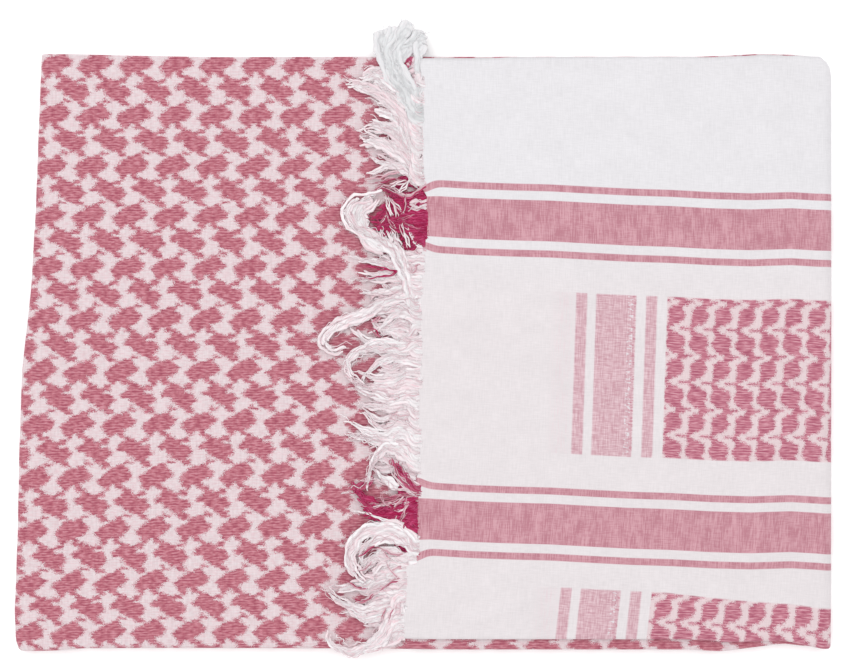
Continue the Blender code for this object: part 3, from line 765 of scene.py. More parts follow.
whiteLocks = lockTable(
    (7.0, 0.0, 0.9, 0.0, -1.8, 112.7, -4.8, 119.7, -9.2, 125.7, -13.8, 130.2, -18.2, 133.2,
     -21.2, 133.7),
    (5.0, -0.2, 0.9, 0.0, -1.2, 119.7, -4.2, 124.7, -6.2, 128.7, -7.2, 132.2),
    (3.8, -0.2, 0.9, 0.0, -0.8, 127.7, -1.2, 131.7, -1.8, 135.7, -2.2, 139.2),
    (5.2, 0.0, 0.8, 0.0, -1.8, 95.7, -6.2, 105.2, -11.2, 112.7, -16.2, 118.7, -21.8, 122.7,
     -27.8, 125.2, -33.8, 126.2),
    (4.8, 0.3, 0.9, 0.0, -9.2, 122.7, -14.2, 126.7, -18.8, 130.2, -23.2, 131.2, -27.8, 129.7,
     -32.2, 128.2),
    (4.8, 0.2, 0.9, 0.0, -11.2, 115.7, -17.2, 120.2, -23.8, 123.7, -30.8, 125.7, -37.2, 126.7),
    (5.2, 0.1, 0.9, 0.0, -4.2, 98.7, -9.2, 104.7, -14.2, 109.2, -19.2, 112.7, -24.2, 114.7),
    (4.8, 0.1, 0.9, 0.0, -5.2, 93.7, -11.2, 100.7, -17.2, 104.7, -22.8, 106.7, -27.8, 106.7),
    (5.6, 0.2, 0.9, 0.0, -5.2, 87.2, -11.2, 93.2, -17.2, 96.2, -24.2, 96.7, -30.8, 95.7),
    (6.4, 0.0, 1.0, 0.0, -5.2, 117.7, -10.2, 123.2, -15.2, 128.2, -19.8, 131.7, -24.8, 131.7,
     -29.2, 129.2),
    (6.4, 0.1, 0.7, 0.0, -1.8, 105.7, -4.8, 113.2, -9.2, 119.7, -14.8, 124.7, -19.8, 128.2,
     -24.8, 130.7, -28.2, 130.7),
    (5.0, 0.3, 0.7, 0.0, -1.8, 98.7, -3.8, 107.7, -7.2, 115.7, -11.8, 120.7, -16.8, 123.7,
     -21.8, 125.7),
    (5.0, 0.0, 0.8, 0.0, -1.8, 101.7, -5.2, 109.7, -10.2, 116.7, -16.2, 122.2, -22.2, 125.7,
     -27.2, 126.7),
    (5.0, 0.1, 0.8, 0.0, -1.8, 94.7, -4.8, 102.7, -9.8, 110.2, -15.2, 115.7, -20.8, 119.2,
     -26.2, 121.2),
    (4.4, 0.6, 0.6, 0.0, -1.8, 88.7, -3.2, 94.2, -5.8, 101.7, -9.8, 108.7, -14.2, 114.2,
     -19.8, 118.7, -25.8, 122.2, -31.8, 125.2, -38.2, 128.2),
    (4.0, 0.3, 0.6, 0.0, -1.8, 83.7, -3.8, 89.7, -6.8, 97.7, -9.8, 105.2, -13.8, 111.2,
     -17.8, 115.2, -21.8, 117.7),
    (2.8, 0.0, 0.6, 0.0, -1.8, 92.7, -4.8, 100.2, -8.8, 107.2, -13.2, 112.7, -18.2, 116.7,
     -22.2, 119.2),
    (4.6, 0.0, 0.7, 0.0, -1.8, 85.7, -5.2, 92.7, -9.8, 98.7, -14.2, 103.7, -19.2, 107.2,
     -24.2, 109.2),
    (5.0, 0.2, 0.7, 0.0, -1.8, 82.2, -4.8, 88.7, -9.2, 95.7, -14.2, 100.7, -20.2, 104.2,
     -26.2, 104.7, -30.8, 102.7),
    (5.2, 0.4, 0.7, 0.0, -1.2, 79.2, -4.8, 84.7, -10.2, 89.7, -16.2, 93.7, -22.2, 97.2,
     -27.2, 100.2, -31.2, 103.2),
    (3.6, 0.2, 0.5, 0.0, -2.2, 78.7, -8.2, 84.7, -15.2, 86.7, -22.2, 87.7, -27.8, 91.7),
    (2.8, 0.6, 0.5, 0.0, -1.8, 74.7, -4.2, 78.2, -9.2, 83.2, -15.8, 85.2, -23.2, 83.2, -30.2, 81.7),
    (3.6, 0.2, 0.5, 0.0, -0.8, 38.7, -5.8, 38.2, -12.2, 36.2, -21.2, 37.7, -29.2, 38.7,
     -36.2, 40.2),
    (3.2, 0.4, 0.5, 0.0, -1.2, 33.7, -6.8, 33.7, -12.8, 32.2, -19.2, 31.7, -26.2, 31.7,
     -32.2, 32.7),
    (3.6, 0.0, 0.5, 0.0, -1.8, 28.7, -7.2, 29.2, -14.2, 30.2, -21.2, 29.7, -28.2, 28.7,
     -35.2, 29.2),
    (3.4, 0.3, 0.5, 0.0, -2.2, 23.7, -8.2, 25.2, -13.2, 24.2, -19.2, 22.2, -25.2, 22.2,
     -31.2, 23.7),
    (3.8, 0.1, 0.5, 0.0, -2.8, 18.7, -8.8, 19.7, -15.8, 18.2, -22.2, 16.2, -28.2, 13.7,
     -34.2, 12.2),
    (3.8, 0.4, 0.5, 0.0, -3.2, 11.7, -9.2, 14.7, -16.2, 14.7, -24.2, 11.7, -32.2, 7.7, -38.8, 5.2,
     -42.2, 1.7),
    (3.8, 0.1, 0.6, 0.0, -3.2, 5.2, -6.8, -0.3, -14.2, -3.3, -21.2, -3.3, -28.2, -1.3, -33.8, 3.2,
     -38.8, 6.2),
    (3.2, 0.5, 0.5, 0.0, -2.8, 8.7, -7.2, 11.7, -12.2, 12.2, -17.2, 8.2, -21.8, 4.2, -26.2, 1.7),
    (3.6, 0.0, 0.5, 0.0, -3.2, -1.3, -9.2, 0.2, -15.2, 2.2, -21.2, 3.7, -26.2, 6.2),
    (4.0, 0.4, 0.5, 0.0, -3.2, -7.3, -9.2, -4.3, -17.2, -3.3, -25.2, -3.8, -32.2, -8.3,
     -35.8, -12.3, -38.2, -15.3),
    (3.4, 0.1, 0.5, 0.0, -3.2, -12.3, -9.2, -10.3, -16.2, -10.3, -22.2, -13.3, -27.2, -17.3,
     -29.8, -22.3),
    (3.4, 0.4, 0.5, 0.0, -3.2, -17.3, -9.2, -17.3, -15.2, -19.8, -21.2, -20.3, -27.2, -18.8,
     -33.2, -17.3),
    (3.8, 0.1, 0.5, 0.0, -3.2, -22.3, -8.2, -21.3, -14.8, -23.8, -21.2, -24.8, -28.2, -24.3,
     -35.2, -20.3),
    (3.8, 0.4, 0.5, 0.0, -3.2, -27.3, -7.2, -26.8, -13.2, -28.8, -21.2, -27.3, -30.2, -24.8,
     -37.2, -19.8),
    (3.4, 0.0, 0.5, 0.0, -3.2, -32.3, -7.2, -30.3, -12.8, -31.3, -19.2, -30.8, -26.2, -28.8,
     -33.2, -25.8),
    (4.0, 0.3, 0.5, 0.0, -3.2, -37.3, -6.8, -34.3, -12.8, -34.8, -19.2, -34.8, -26.8, -33.8,
     -34.2, -31.3),
    (3.4, 0.1, 0.5, 0.0, -3.2, -42.3, -6.8, -38.8, -12.2, -38.8, -18.8, -40.8, -25.2, -38.8,
     -31.2, -34.8),
    (3.4, 0.5, 0.5, 0.0, -3.2, -47.3, -6.8, -43.8, -12.2, -42.8, -18.2, -44.8, -24.8, -42.8,
     -30.2, -37.8),
    (4.0, 0.2, 0.5, 0.0, -3.2, -51.8, -7.2, -47.8, -13.2, -46.8, -19.2, -48.8, -25.2, -47.8,
     -33.2, -43.8, -40.2, -40.8),
    (3.4, 0.0, 0.5, 0.0, -3.2, -55.8, -6.8, -51.8, -11.8, -50.8, -17.2, -53.3, -24.2, -50.8,
     -32.2, -48.8, -39.2, -47.8),
    (3.4, 0.3, 0.5, 0.0, -3.2, -59.8, -6.2, -55.8, -10.2, -55.3, -14.2, -57.3, -19.2, -54.8,
     -26.8, -50.8, -35.2, -48.8),
    (4.2, 0.6, 0.5, 0.0, -3.2, -63.8, -7.2, -59.8, -12.2, -56.3, -18.2, -54.8, -22.2, -57.8,
     -25.2, -63.8, -27.2, -70.3, -27.8, -76.3),
    (1.6, 0.6, 0.5, 0.5, -7.2, -106.8, -11.2, -107.8, -15.2, -107.3, -19.8, -105.3, -25.2, -102.8),
    (4.4, 0.3, 0.6, 0.0, -7.2, -109.3, -12.2, -107.8, -17.2, -107.3, -22.8, -110.3, -27.8, -115.3,
     -30.8, -119.8),
    (4.8, 0.1, 0.6, 0.0, -8.8, -112.3, -13.2, -111.8, -18.2, -114.3, -23.2, -118.8, -27.8, -121.8),
    (5.4, 0.4, 0.5, 0.0, -9.2, -116.3, -14.2, -117.3, -20.2, -119.8, -27.2, -122.3, -35.2, -124.3,
     -42.2, -125.3, -47.8, -124.8),
    (4.6, 0.0, 0.6, 0.0, -9.8, -120.8, -15.2, -121.3, -21.2, -123.8, -27.2, -125.3, -33.2, -126.3),
    (4.4, 0.3, 0.6, 0.0, -10.2, -125.8, -15.2, -126.3, -19.8, -127.3, -23.2, -128.3),
    (5.4, 0.2, 0.5, 0.0, -10.8, -130.3, -15.8, -131.8, -21.2, -133.8, -27.2, -135.8, -34.2, -135.3,
     -40.2, -132.3, -44.8, -128.8, -47.8, -125.8),
    (5.2, 0.5, 0.5, 0.0, -10.8, -134.3, -16.2, -136.3, -22.2, -138.3, -27.8, -139.8, -33.8, -138.3,
     -39.2, -135.3),
    (4.6, 0.1, 0.6, 0.0, -10.8, -138.8, -15.8, -140.3, -20.2, -142.3, -24.8, -145.3),
    (4.2, 0.3, 0.6, 0.0, -11.2, -143.3, -14.8, -145.8, -19.2, -148.8, -24.2, -151.8),
    (4.2, 0.0, 0.6, 0.0, -11.2, -147.3, -14.2, -149.8, -18.2, -152.3, -22.2, -154.3),
)

crimsonLocks = lockTable(
    (4.6, 0.2, 0.9, 0.9, -5.8, 136.2, -7.8, 137.7, -9.8, 139.2),
    (1.7, 0.9, 0.5, 0.35, 2.2, 77.2, -1.2, 74.2, -5.8, 71.2, -11.2, 72.2, -15.8, 74.7, -20.2, 76.7,
     -24.2, 75.2),
    (1.5, 0.8, 0.5, 0.8, 1.8, 75.7, -2.2, 72.2, -7.2, 70.2, -12.2, 71.2, -16.8, 73.7, -21.2, 75.2,
     -25.8, 73.7),
    (1.6, 0.6, 0.5, 0.55, -8.8, 82.7, -15.2, 82.2, -22.8, 79.7, -30.8, 78.7),
    (1.7, 0.5, 0.5, 0.8, -2.8, 75.7, -8.8, 77.7, -15.2, 79.2, -22.2, 77.7, -29.2, 76.7),
    (1.6, 1.0, 0.5, 0.9, -8.2, 72.2, -9.2, 68.2, -9.2, 64.2, -10.8, 60.2),
    (4.8, 0.0, 0.9, 1.0, 1.2, 66.7, -5.2, 65.7, -11.8, 66.7, -17.2, 64.7, -23.8, 62.2),
    (5.0, 0.2, 0.9, 1.0, 1.2, 62.7, -5.8, 62.7, -12.8, 62.2, -19.2, 60.2, -26.8, 58.7),
    (5.0, 0.0, 0.9, 1.0, 1.2, 59.2, -5.2, 59.2, -12.2, 58.7, -18.2, 56.7, -26.2, 55.2),
    (4.8, 0.3, 0.9, 1.0, 1.2, 55.7, -4.2, 55.7, -10.2, 55.7, -15.8, 53.7, -22.8, 52.2),
    (4.6, 0.1, 0.6, 1.0, 1.2, 52.2, -2.8, 51.7, -7.2, 51.2, -10.2, 48.7, -11.8, 45.7),
    (4.2, 0.3, 0.6, 1.0, 1.2, 48.7, -1.8, 48.7, -4.8, 47.7, -7.2, 45.7),
    (1.3, 0.8, 0.5, 0.7, 0.8, 45.7, -2.2, 48.7, -4.8, 52.2, -6.2, 56.7),
    (1.6, 0.9, 0.5, 0.1, -1.8, 45.2, -4.2, 48.7, -5.8, 52.2, -6.8, 56.2),
    (1.0, 0.9, 0.5, 0.6, 2.2, 54.7, -1.2, 54.2, -4.8, 55.2, -8.8, 57.7, -11.8, 61.7),
    (1.0, 0.9, 0.5, 0.7, -13.2, 54.2, -15.8, 57.2, -17.8, 60.7, -18.2, 64.2),
    (1.6, 0.7, 0.5, 0.5, 2.2, 43.7, -0.8, 46.7, -4.2, 49.7, -7.8, 54.7, -10.2, 59.2),
    (3.6, 0.4, 0.7, 0.9, -1.2, -75.8, -5.8, -73.3, -9.8, -69.3, -12.8, -64.8, -15.2, -59.3),
    (3.0, 0.2, 0.7, 0.9, -24.2, -70.3, -29.2, -72.8, -33.2, -74.8, -37.2, -75.8),
    (1.3, 0.8, 0.5, 0.35, -1.8, -73.3, -5.8, -70.3, -9.2, -65.8, -11.2, -60.3),
    (1.3, 0.9, 0.5, 0.2, -4.2, -78.3, -9.2, -74.8, -13.2, -70.3, -16.2, -65.3, -17.8, -59.8),
    (1.0, 1.1, 0.5, 0.15, -5.8, -74.3, -9.2, -71.3, -12.2, -67.3, -14.2, -62.8),
    (1.6, 0.6, 0.5, 0.5, -1.2, -77.3, -7.2, -74.3, -12.2, -70.3, -14.8, -64.3, -15.8, -59.8),
    (2.0, 0.3, 0.6, 0.9, -3.8, -80.3, -9.2, -82.3, -14.8, -84.8, -20.2, -84.8, -26.2, -81.3,
     -31.2, -77.8, -35.2, -74.3),
    (2.6, 0.6, 0.6, 0.95, -4.2, -81.3, -9.8, -83.3, -15.2, -86.3, -21.2, -86.3, -26.8, -83.8,
     -30.8, -80.8, -33.8, -76.8),
    (4.8, 0.2, 0.6, 1.0, -22.2, -84.8, -26.8, -82.3, -30.2, -79.3, -32.8, -76.3, -34.8, -72.3),
    (1.9, 0.3, 0.6, 0.9, -4.2, -77.8, -8.8, -77.8, -13.8, -79.3, -19.2, -80.8, -25.2, -80.8,
     -31.2, -78.8),
    (1.7, 0.7, 0.6, 0.75, -4.2, -78.3, -9.2, -79.3, -15.2, -81.3, -21.8, -82.8, -28.2, -81.8,
     -32.8, -78.8),
    (1.0, 1.1, 0.5, 0.3, -6.8, -79.8, -10.8, -81.3, -13.2, -83.8, -13.2, -86.8, -10.8, -88.8),
    (1.0, 1.1, 0.5, 0.3, -4.8, -85.3, -7.8, -87.3, -10.2, -89.8, -11.2, -92.8, -9.8, -95.3),
    (4.8, 0.7, 0.7, 1.0, -6.2, -83.8, -11.2, -85.8, -16.8, -86.8, -22.8, -87.3, -29.2, -86.3),
    (1.3, 1.0, 0.5, 0.7, -10.2, -87.3, -14.2, -85.8, -17.8, -83.3, -20.2, -80.3, -21.2, -76.8),
    (5.6, 0.2, 0.8, 1.0, -3.8, -82.8, -9.8, -84.8, -16.2, -86.3, -23.2, -86.8, -31.2, -84.8),
    (4.4, 0.1, 0.8, 1.0, -5.8, -86.8, -10.8, -88.3, -16.2, -89.3, -22.2, -89.8, -27.2, -88.8),
    (4.6, 0.3, 0.6, 1.0, -3.8, -88.8, -9.2, -89.8, -14.2, -90.8, -19.2, -91.8),
    (4.4, 0.2, 0.6, 1.0, -3.8, -93.3, -6.8, -93.8, -9.2, -95.8, -10.8, -98.3),
    (1.8, 0.7, 0.6, 0.1, -4.8, -77.8, -9.2, -75.8, -15.2, -74.8, -21.2, -71.8, -28.2, -70.8,
     -36.2, -72.8),
    (3.2, 0.9, 0.6, 0.0, -12.2, -74.8, -16.8, -71.8, -20.8, -68.8, -22.2, -64.8),
    (1.2, 0.8, 0.5, 0.3, -4.8, -81.8, -10.2, -82.3, -16.2, -82.8, -23.2, -84.3, -30.2, -83.3,
     -36.2, -79.8),
    (1.3, 0.9, 0.5, 0.1, -13.2, -91.3, -19.2, -90.8, -26.2, -88.3, -33.2, -86.3, -39.2, -85.3),
    (1.6, 1.1, 0.5, 0.35, -6.2, -79.8, -9.2, -83.8, -12.2, -87.3, -14.2, -91.8),
    (1.4, 1.2, 0.5, 0.5, -8.8, -79.3, -12.8, -82.8, -15.2, -86.8),
    (0.9, 0.5, 0.5, 0.6, 0.8, 62.2, -3.8, 61.2, -8.2, 59.7, -12.8, 59.2),
    (0.9, 0.5, 0.5, 0.7, -1.2, 57.2, -6.2, 56.2, -10.8, 57.2, -15.2, 55.2),
    (0.8, 0.5, 0.5, 0.6, -16.8, 61.7, -19.8, 59.2, -21.2, 55.7, -19.2, 53.2),
    (0.9, 0.4, 0.5, 0.6, -9.2, -85.3, -14.2, -83.8, -19.2, -85.3, -23.8, -83.8),
    (0.8, 0.4, 0.5, 0.6, -18.2, -89.8, -21.2, -87.3, -24.8, -86.3, -28.2, -87.3),
    (1.8, 0.6, 0.5, 0.6, -1.2, -106.8, -4.8, -109.3, -7.2, -112.3, -10.2, -114.8),
    (4.4, 0.4, 0.9, 0.12, -0.2, 66.2, -3.8, 66.2, -7.2, 65.7),
    (1.2, 0.7, 0.6, 0.1, -9.2, 61.7, -12.2, 64.7, -15.2, 68.2, -17.2, 71.2),
)

looseLocks = lockTable(
    (5.2, 0.2, 0.9, 0.0, -3.8, 16.7, -6.2, 23.2, -8.8, 29.7, -11.2, 36.2, -14.2, 42.7, -19.2, 48.2,
     -26.2, 51.7, -33.2, 55.7, -37.8, 61.7, -35.2, 67.2, -28.8, 69.7, -21.8, 71.2),
    (3.6, 0.0, 0.5, 0.0, -4.8, 18.7, -7.8, 27.7, -10.8, 34.7, -13.2, 40.7, -17.2, 45.7,
     -23.2, 49.2, -30.8, 52.7, -36.2, 57.2, -38.8, 63.7, -38.2, 68.7),
    (6.0, -0.4, 0.9, 0.0, -20.2, 46.7, -25.2, 50.7, -29.2, 54.7, -31.2, 59.2, -30.2, 63.7,
     -25.8, 66.7),
    (3.4, 0.0, 0.4, 0.0, -5.8, 26.7, -9.2, 35.7, -11.8, 43.7, -13.8, 49.7, -15.8, 54.7),
    (2.8, 0.2, 0.4, 0.0, -7.8, 31.7, -11.8, 39.7, -16.2, 45.2, -19.2, 49.7, -20.8, 54.2),
    (1.2, 0.9, 0.6, 0.85, -12.2, 32.7, -17.2, 34.2, -23.2, 34.7, -29.2, 35.7, -34.2, 35.7),
    (1.0, 0.9, 0.6, 0.8, -11.8, 33.2, -16.8, 31.2, -21.8, 30.2, -27.2, 29.2, -31.8, 29.7),
    (1.4, 0.8, 0.6, 0.8, -20.8, 10.2, -23.2, 8.7, -25.8, 7.2),
    (1.4, 0.8, 0.6, 0.85, -21.2, 0.2, -23.8, 2.7, -25.8, 4.7),
    (1.0, 0.9, 0.6, 0.8, -3.2, 36.2, -4.2, 33.2, -5.2, 32.2, -5.8, 34.7),
    (1.9, 0.3, 0.6, 0.0, -2.8, 43.7, -0.2, 41.2, 0.2, 37.7, -1.2, 33.7, -3.2, 29.7, -4.8, 24.7),
    (1.8, 0.9, 0.5, 0.12, -14.8, 60.7, -16.2, 64.2, -17.8, 67.7, -18.8, 71.7),
    (1.3, 1.0, 0.5, 0.35, -12.2, 60.2, -13.2, 63.7, -15.2, 67.2, -17.2, 70.2),
    (2.2, 0.8, 0.5, 0.05, -6.8, 44.7, -8.2, 49.2, -9.8, 53.2, -10.8, 57.7),
    (1.5, 0.8, 0.4, 0.0, -10.2, 46.2, -12.2, 49.7, -13.2, 53.2),
    (1.6, 0.8, 0.4, 0.0, -14.8, 47.7, -16.8, 51.2, -18.2, 54.2),
    (1.6, 0.8, 0.4, 0.0, -19.2, 47.2, -20.8, 50.2, -21.8, 53.2),
    (7.6, -0.2, 0.9, 0.0, -18.2, 43.7, -24.2, 47.2, -29.8, 52.7, -32.8, 58.7, -32.8, 63.7,
     -29.2, 66.7, -24.8, 69.2, -19.8, 72.2),
    (2.0, 1.1, 0.8, 0.0, -12.2, 72.2, -10.2, 74.7, -7.8, 76.7, -5.8, 78.2),
    (2.2, 0.9, 0.8, 0.0, -15.8, 75.2, -13.2, 76.7, -10.2, 77.7, -7.8, 78.7),
    (4.4, 0.3, 0.8, 0.0, -2.8, 16.7, -8.8, 19.7, -15.8, 18.2, -23.2, 14.7, -31.8, 10.2, -40.2, 7.7,
     -46.2, 3.2, -50.2, -1.8, -46.2, -6.3, -40.2, -5.8),
    (3.8, 0.0, 0.6, 0.0, -3.2, -3.8, -8.8, -6.8, -15.2, -6.3, -24.8, -5.8, -33.8, -7.3,
     -37.2, -12.8, -35.8, -18.8, -30.2, -23.3),
    (1.5, 0.7, 0.5, 0.3, -6.8, -78.3, -8.2, -81.8, -9.2, -86.8, -10.2, -91.8),
    (6.4, 0.4, 0.8, 0.0, -3.8, -102.8, -7.2, -98.3, -12.2, -95.8, -18.2, -94.8, -25.2, -95.8,
     -31.2, -98.8, -35.2, -103.8, -36.8, -109.8, -35.2, -115.3, -31.8, -119.8, -27.2, -122.3),
    (3.4, 0.0, 0.6, 0.06, -7.2, -109.3, -13.2, -109.8, -18.8, -108.8, -24.2, -109.3, -29.2, -112.3,
     -32.8, -116.8),
    (3.0, 0.3, 0.6, 0.0, -9.2, -111.3, -14.8, -111.3, -19.8, -113.3, -24.2, -116.8, -26.8, -120.8),
    (1.5, 0.9, 0.6, 0.85, -23.8, -103.8, -26.8, -104.8, -29.2, -106.8, -31.8, -109.8),
    (1.3, 0.9, 0.6, 0.8, -12.8, -120.8, -16.8, -122.8, -20.2, -124.8, -23.8, -125.8),
    (1.7, 0.9, 0.7, 0.85, -23.8, -128.3, -26.8, -130.3, -30.2, -131.3, -33.8, -131.3),
    (1.2, 0.8, 0.6, 0.8, -27.2, -125.3, -31.2, -124.8, -35.2, -123.3, -38.8, -121.3),
    (1.5, 0.9, 0.6, 0.85, -11.8, -114.3, -13.8, -115.3, -15.8, -116.3),
    (0.9, 1.0, 0.5, 0.45, -9.8, -109.8, -12.8, -111.3, -15.8, -110.3, -18.8, -107.8, -21.8, -105.8),
    (0.9, 1.0, 0.5, 0.45, -12.2, -119.3, -15.2, -116.8, -17.2, -113.3, -18.2, -109.8),
    (1.0, 0.9, 0.5, 0.6, -11.8, -133.3, -14.8, -134.8, -16.2, -137.8, -16.8, -141.8),
    (0.8, 0.9, 0.5, 0.55, -18.2, -134.8, -19.8, -138.3, -21.2, -142.3),
    (0.8, 1.0, 0.5, 0.4, -25.2, -111.3, -28.2, -114.3, -32.2, -116.3, -36.2, -116.3),
    (1.5, 0.6, 0.5, 0.4, -7.8, -107.8, -13.8, -107.3, -19.2, -105.8, -24.2, -105.3, -28.2, -107.3),
    (4.2, 0.2, 0.7, 0.0, -4.8, -105.3, -8.2, -102.3, -13.2, -100.8, -19.2, -100.3, -24.8, -101.3,
     -28.8, -104.3, -31.2, -108.8, -30.8, -113.3),
    (6.6, 0.4, 0.8, 0.0, -10.2, -131.3, -12.8, -137.3, -15.8, -143.3, -20.8, -149.3, -27.8, -154.3,
     -35.8, -156.3, -42.2, -154.8, -46.2, -150.3, -46.8, -145.8),
)

tuftLocks = lockTable(
    (5.0, 0.0, 1.3, 0.0, -2.8, 114.7, -8.8, 122.7, -13.8, 129.2, -17.2, 135.7, -19.2, 143.2,
     -20.8, 149.7, -21.8, 155.7),
    (4.6, -0.1, 1.3, 0.0, -3.2, 112.7, -9.2, 121.2, -13.8, 128.7, -16.2, 135.7, -18.2, 142.7,
     -18.2, 148.7, -19.2, 152.7),
    (6.2, 0.3, 1.3, 0.0, -2.2, 110.7, -6.2, 119.7, -10.8, 127.2, -14.2, 133.7, -15.8, 140.7,
     -14.8, 149.2, -11.8, 157.2),
    (5.6, 0.5, 1.3, 0.0, -1.8, 114.7, -5.8, 122.7, -10.2, 129.7, -13.2, 135.7, -14.2, 141.2,
     -11.8, 148.7, -8.2, 155.2, -6.2, 160.2),
    (5.0, 0.2, 1.35, 0.0, -14.2, 133.7, -13.2, 139.7, -10.2, 144.2, -5.8, 147.7, -1.8, 151.2,
     0.8, 154.2),
    (4.6, 0.0, 1.35, 0.0, -13.8, 135.7, -11.2, 140.7, -7.2, 144.2, -3.8, 146.7, -0.8, 148.2,
     2.2, 149.7),
    (2.6, 0.5, 1.6, 0.0, -1.2, 119.7, -1.2, 125.7, -1.8, 131.7, -2.2, 137.2, -2.8, 141.7,
     -1.2, 145.2, 1.2, 147.2),
)

underLocks = dict(
    pitch=5.0, reachWave=4.0, riseWave=2.5, wave=1.6, width=5.4, tip=0.7, root=0.6,
    # Each bend's share of the length and its side.
    bends=((0.2, 0.5), (0.4, 1.0), (0.65, -0.4), (0.85, -1.0), (1.0, 0.3)),
)


def lowerLocks(top, bottom, dye, reach, rise):
    # The lower level's locks, evenly rooted. Reach and rise are given at the top and bottom.
    count = int((top - bottom) / underLocks["pitch"])
    pitch = (top - bottom) / count
    locks = []
    for k in range(count):
        root = bottom + pitch * (k + 0.5)
        wave = root / underLocks["pitch"]
        length = np.interp(root, (bottom, top), reach[::-1]) \
            + underLocks["reachWave"] * math.sin(0.9 * wave)
        climb = np.interp(root, (bottom, top), rise[::-1]) \
            + underLocks["riseWave"] * math.sin(0.31 * wave + 1.0)
        bend = underLocks["wave"] * math.sin(1.7 * wave)
        x = float(endShift(0.0, root)) - underLocks["root"]
        path = [(x, root)] + [(x - length * share, root + climb * share + side * bend)
                              for share, side in underLocks["bends"]]
        locks.append(dict(width=underLocks["width"], lift=0.25 * (k % 3), tip=underLocks["tip"],
                          dye=dye, path=path))
    return locks


def alongPath(path, share):
    # A smooth curve through a path's points, by share of its length.
    points = np.array(path, float)
    knots = np.concatenate([[0.0], np.cumsum(np.hypot(*np.diff(points, axis=0).T))])
    length = knots[-1]
    knots = knots / length
    slopes = np.gradient(points, knots, axis=0)
    share = np.asarray(share, float)
    k = np.clip(np.searchsorted(knots, share, side="right") - 1, 0, len(knots) - 2)
    gap = knots[k + 1] - knots[k]
    t = ((share - knots[k]) / gap)[..., None]
    gap = gap[..., None]
    placed = (2 * t ** 3 - 3 * t ** 2 + 1) * points[k] \
        + (t ** 3 - 2 * t ** 2 + t) * gap * slopes[k] \
        + (3 * t ** 2 - 2 * t ** 3) * points[k + 1] + (t ** 3 - t ** 2) * gap * slopes[k + 1]
    return placed[..., 0], placed[..., 1], length


lockForm = dict(
    ringPitch=1.2, mostRings=48, capRings=5, sides=8, flatness=0.3, thickest=1.25,
    rootSpread=1.35, rootThickness=0.5, strandWidth=1.35, overlap=1.8, tuftOverlap=2.3,
    taper=0.35, tuftTaper=0.1, crossing=0.4, sway=0.3, kink=0.3, fineKink=0.16,
    # How far alternate strands lie above the others, and how uneven widths and heights are.
    lift=0.16, tuftLift=0.4, roundness=0.62, unevenWidth=0.1, unevenHeight=0.15,
    strandUneven=0.14, strandWave=0.12, mapGirth=2.2,
    # A lock that starts near the cloth's edge is held by it, fans out there and settles.
    heldReach=3.0, fanReach=8.5, settleReach=9.0, rootSink=0.5, sinkReach=1.6,
    # A core's share of its lock's length and of its width.
    core=(0.86, 0.95), tuftCore=(0.97, 1.0), coreOffset=0.12, coreKink=0.5, coreSink=0.12,
    coreThickness=0.75,
    strays=4, strayRadius=0.19, strayRings=34, straySides=5, strayKink=0.75, strayLift=0.16,
    strayGirth=1.2, pinkShadeChance=0.3, pinkShade=0.25,
    # Locks narrower than fineBelow are a few thin yarns.
    fineBelow=2.5, fineWidth=0.65, fineOverlap=1.15, fineDye=0.35,
)


def lockCourse(lock, draw, level):
    # One lock's middle line with its half-width and half-height along it, in millimetres.
    form = lockForm
    root, path = lock["path"][0], list(lock["path"])
    edge = float(endShift(0.0, root[1]))
    held = root[0] > edge - form["heldReach"]
    tuck = level["tuck"] * draw.uniform(0.6, 1.4) * held
    if held:
        path.insert(0, (max(root[0], edge) + tuck, root[1]))
    length = alongPath(path, np.array([1.0]))[2]
    share = np.linspace(0.0, 1.05, 60)
    phase = draw.uniform(0.0, 2 * math.pi, 4)
    along = share * length
    fan = (1 - smooth(along / min(form["fanReach"], 0.5 * length))) * held
    widen = 1 + (lock["tip"] - 1) * smooth((share - 0.45) / 0.5)
    uneven = 1 + form["unevenWidth"] * np.sin(0.5 * along + phase[0]) * (1 - fan)
    halfWidth = lock["width"] / 2 * widen * uneven * (1 + (form["rootSpread"] - 1) * fan)
    full = min(form["flatness"] * lock["width"], form["thickest"]) / 2
    halfHeight = (form["rootThickness"] / 2) * fan + full * (1 - fan)
    swayed = form["sway"] * np.sin(0.42 * along + phase[1]) * (1 - fan)
    high = level["rest"] + lock["lift"]
    settled = smooth((along - tuck) / form["settleReach"])
    height = high + (level["root"] - high) * (1 - settled) * held \
        - form["rootSink"] * (1 - smooth(along / form["sinkReach"])) * held \
        + form["unevenHeight"] * np.sin(4.0 * share + phase[2]) * (1 - fan)
    return dict(path=path, share=share, length=length, fan=fan, halfWidth=halfWidth,
                halfHeight=halfHeight, swayed=swayed, height=height, droop=level["droop"],
                held=held)


def rest(y, height, half, droop):
    # A lock lies on the strip, and droops past the strip's edge.
    past = np.clip(y - fold["topEdge"], 0.0, None)
    onStrip = np.maximum(height, fold["stripHeight"] + half + 0.02)
    return np.where(past > 0.0, np.maximum(onStrip - droop * past, half + 0.3), onStrip)


def placeOn(course, share, offset, kink):
    # The place, form and heading across the path, for an offset given in half-widths.
    halfWidth, halfHeight, swayed, height, fan = (
        np.interp(share, course["share"], course[key])
        for key in ("halfWidth", "halfHeight", "swayed", "height", "fan"))
    x, y = alongPath(course["path"], share)[:2]
    aheadX, aheadY = alongPath(course["path"], share + 0.01)[:2]
    run = np.hypot(aheadX - x, aheadY - y)
    normalX, normalY = -(aheadY - y) / run, (aheadX - x) / run
    across = offset * halfWidth + swayed + kink * (1 - fan)
    return (x + normalX * across, y + normalY * across, height, halfHeight, halfWidth, fan,
            normalX, normalY)


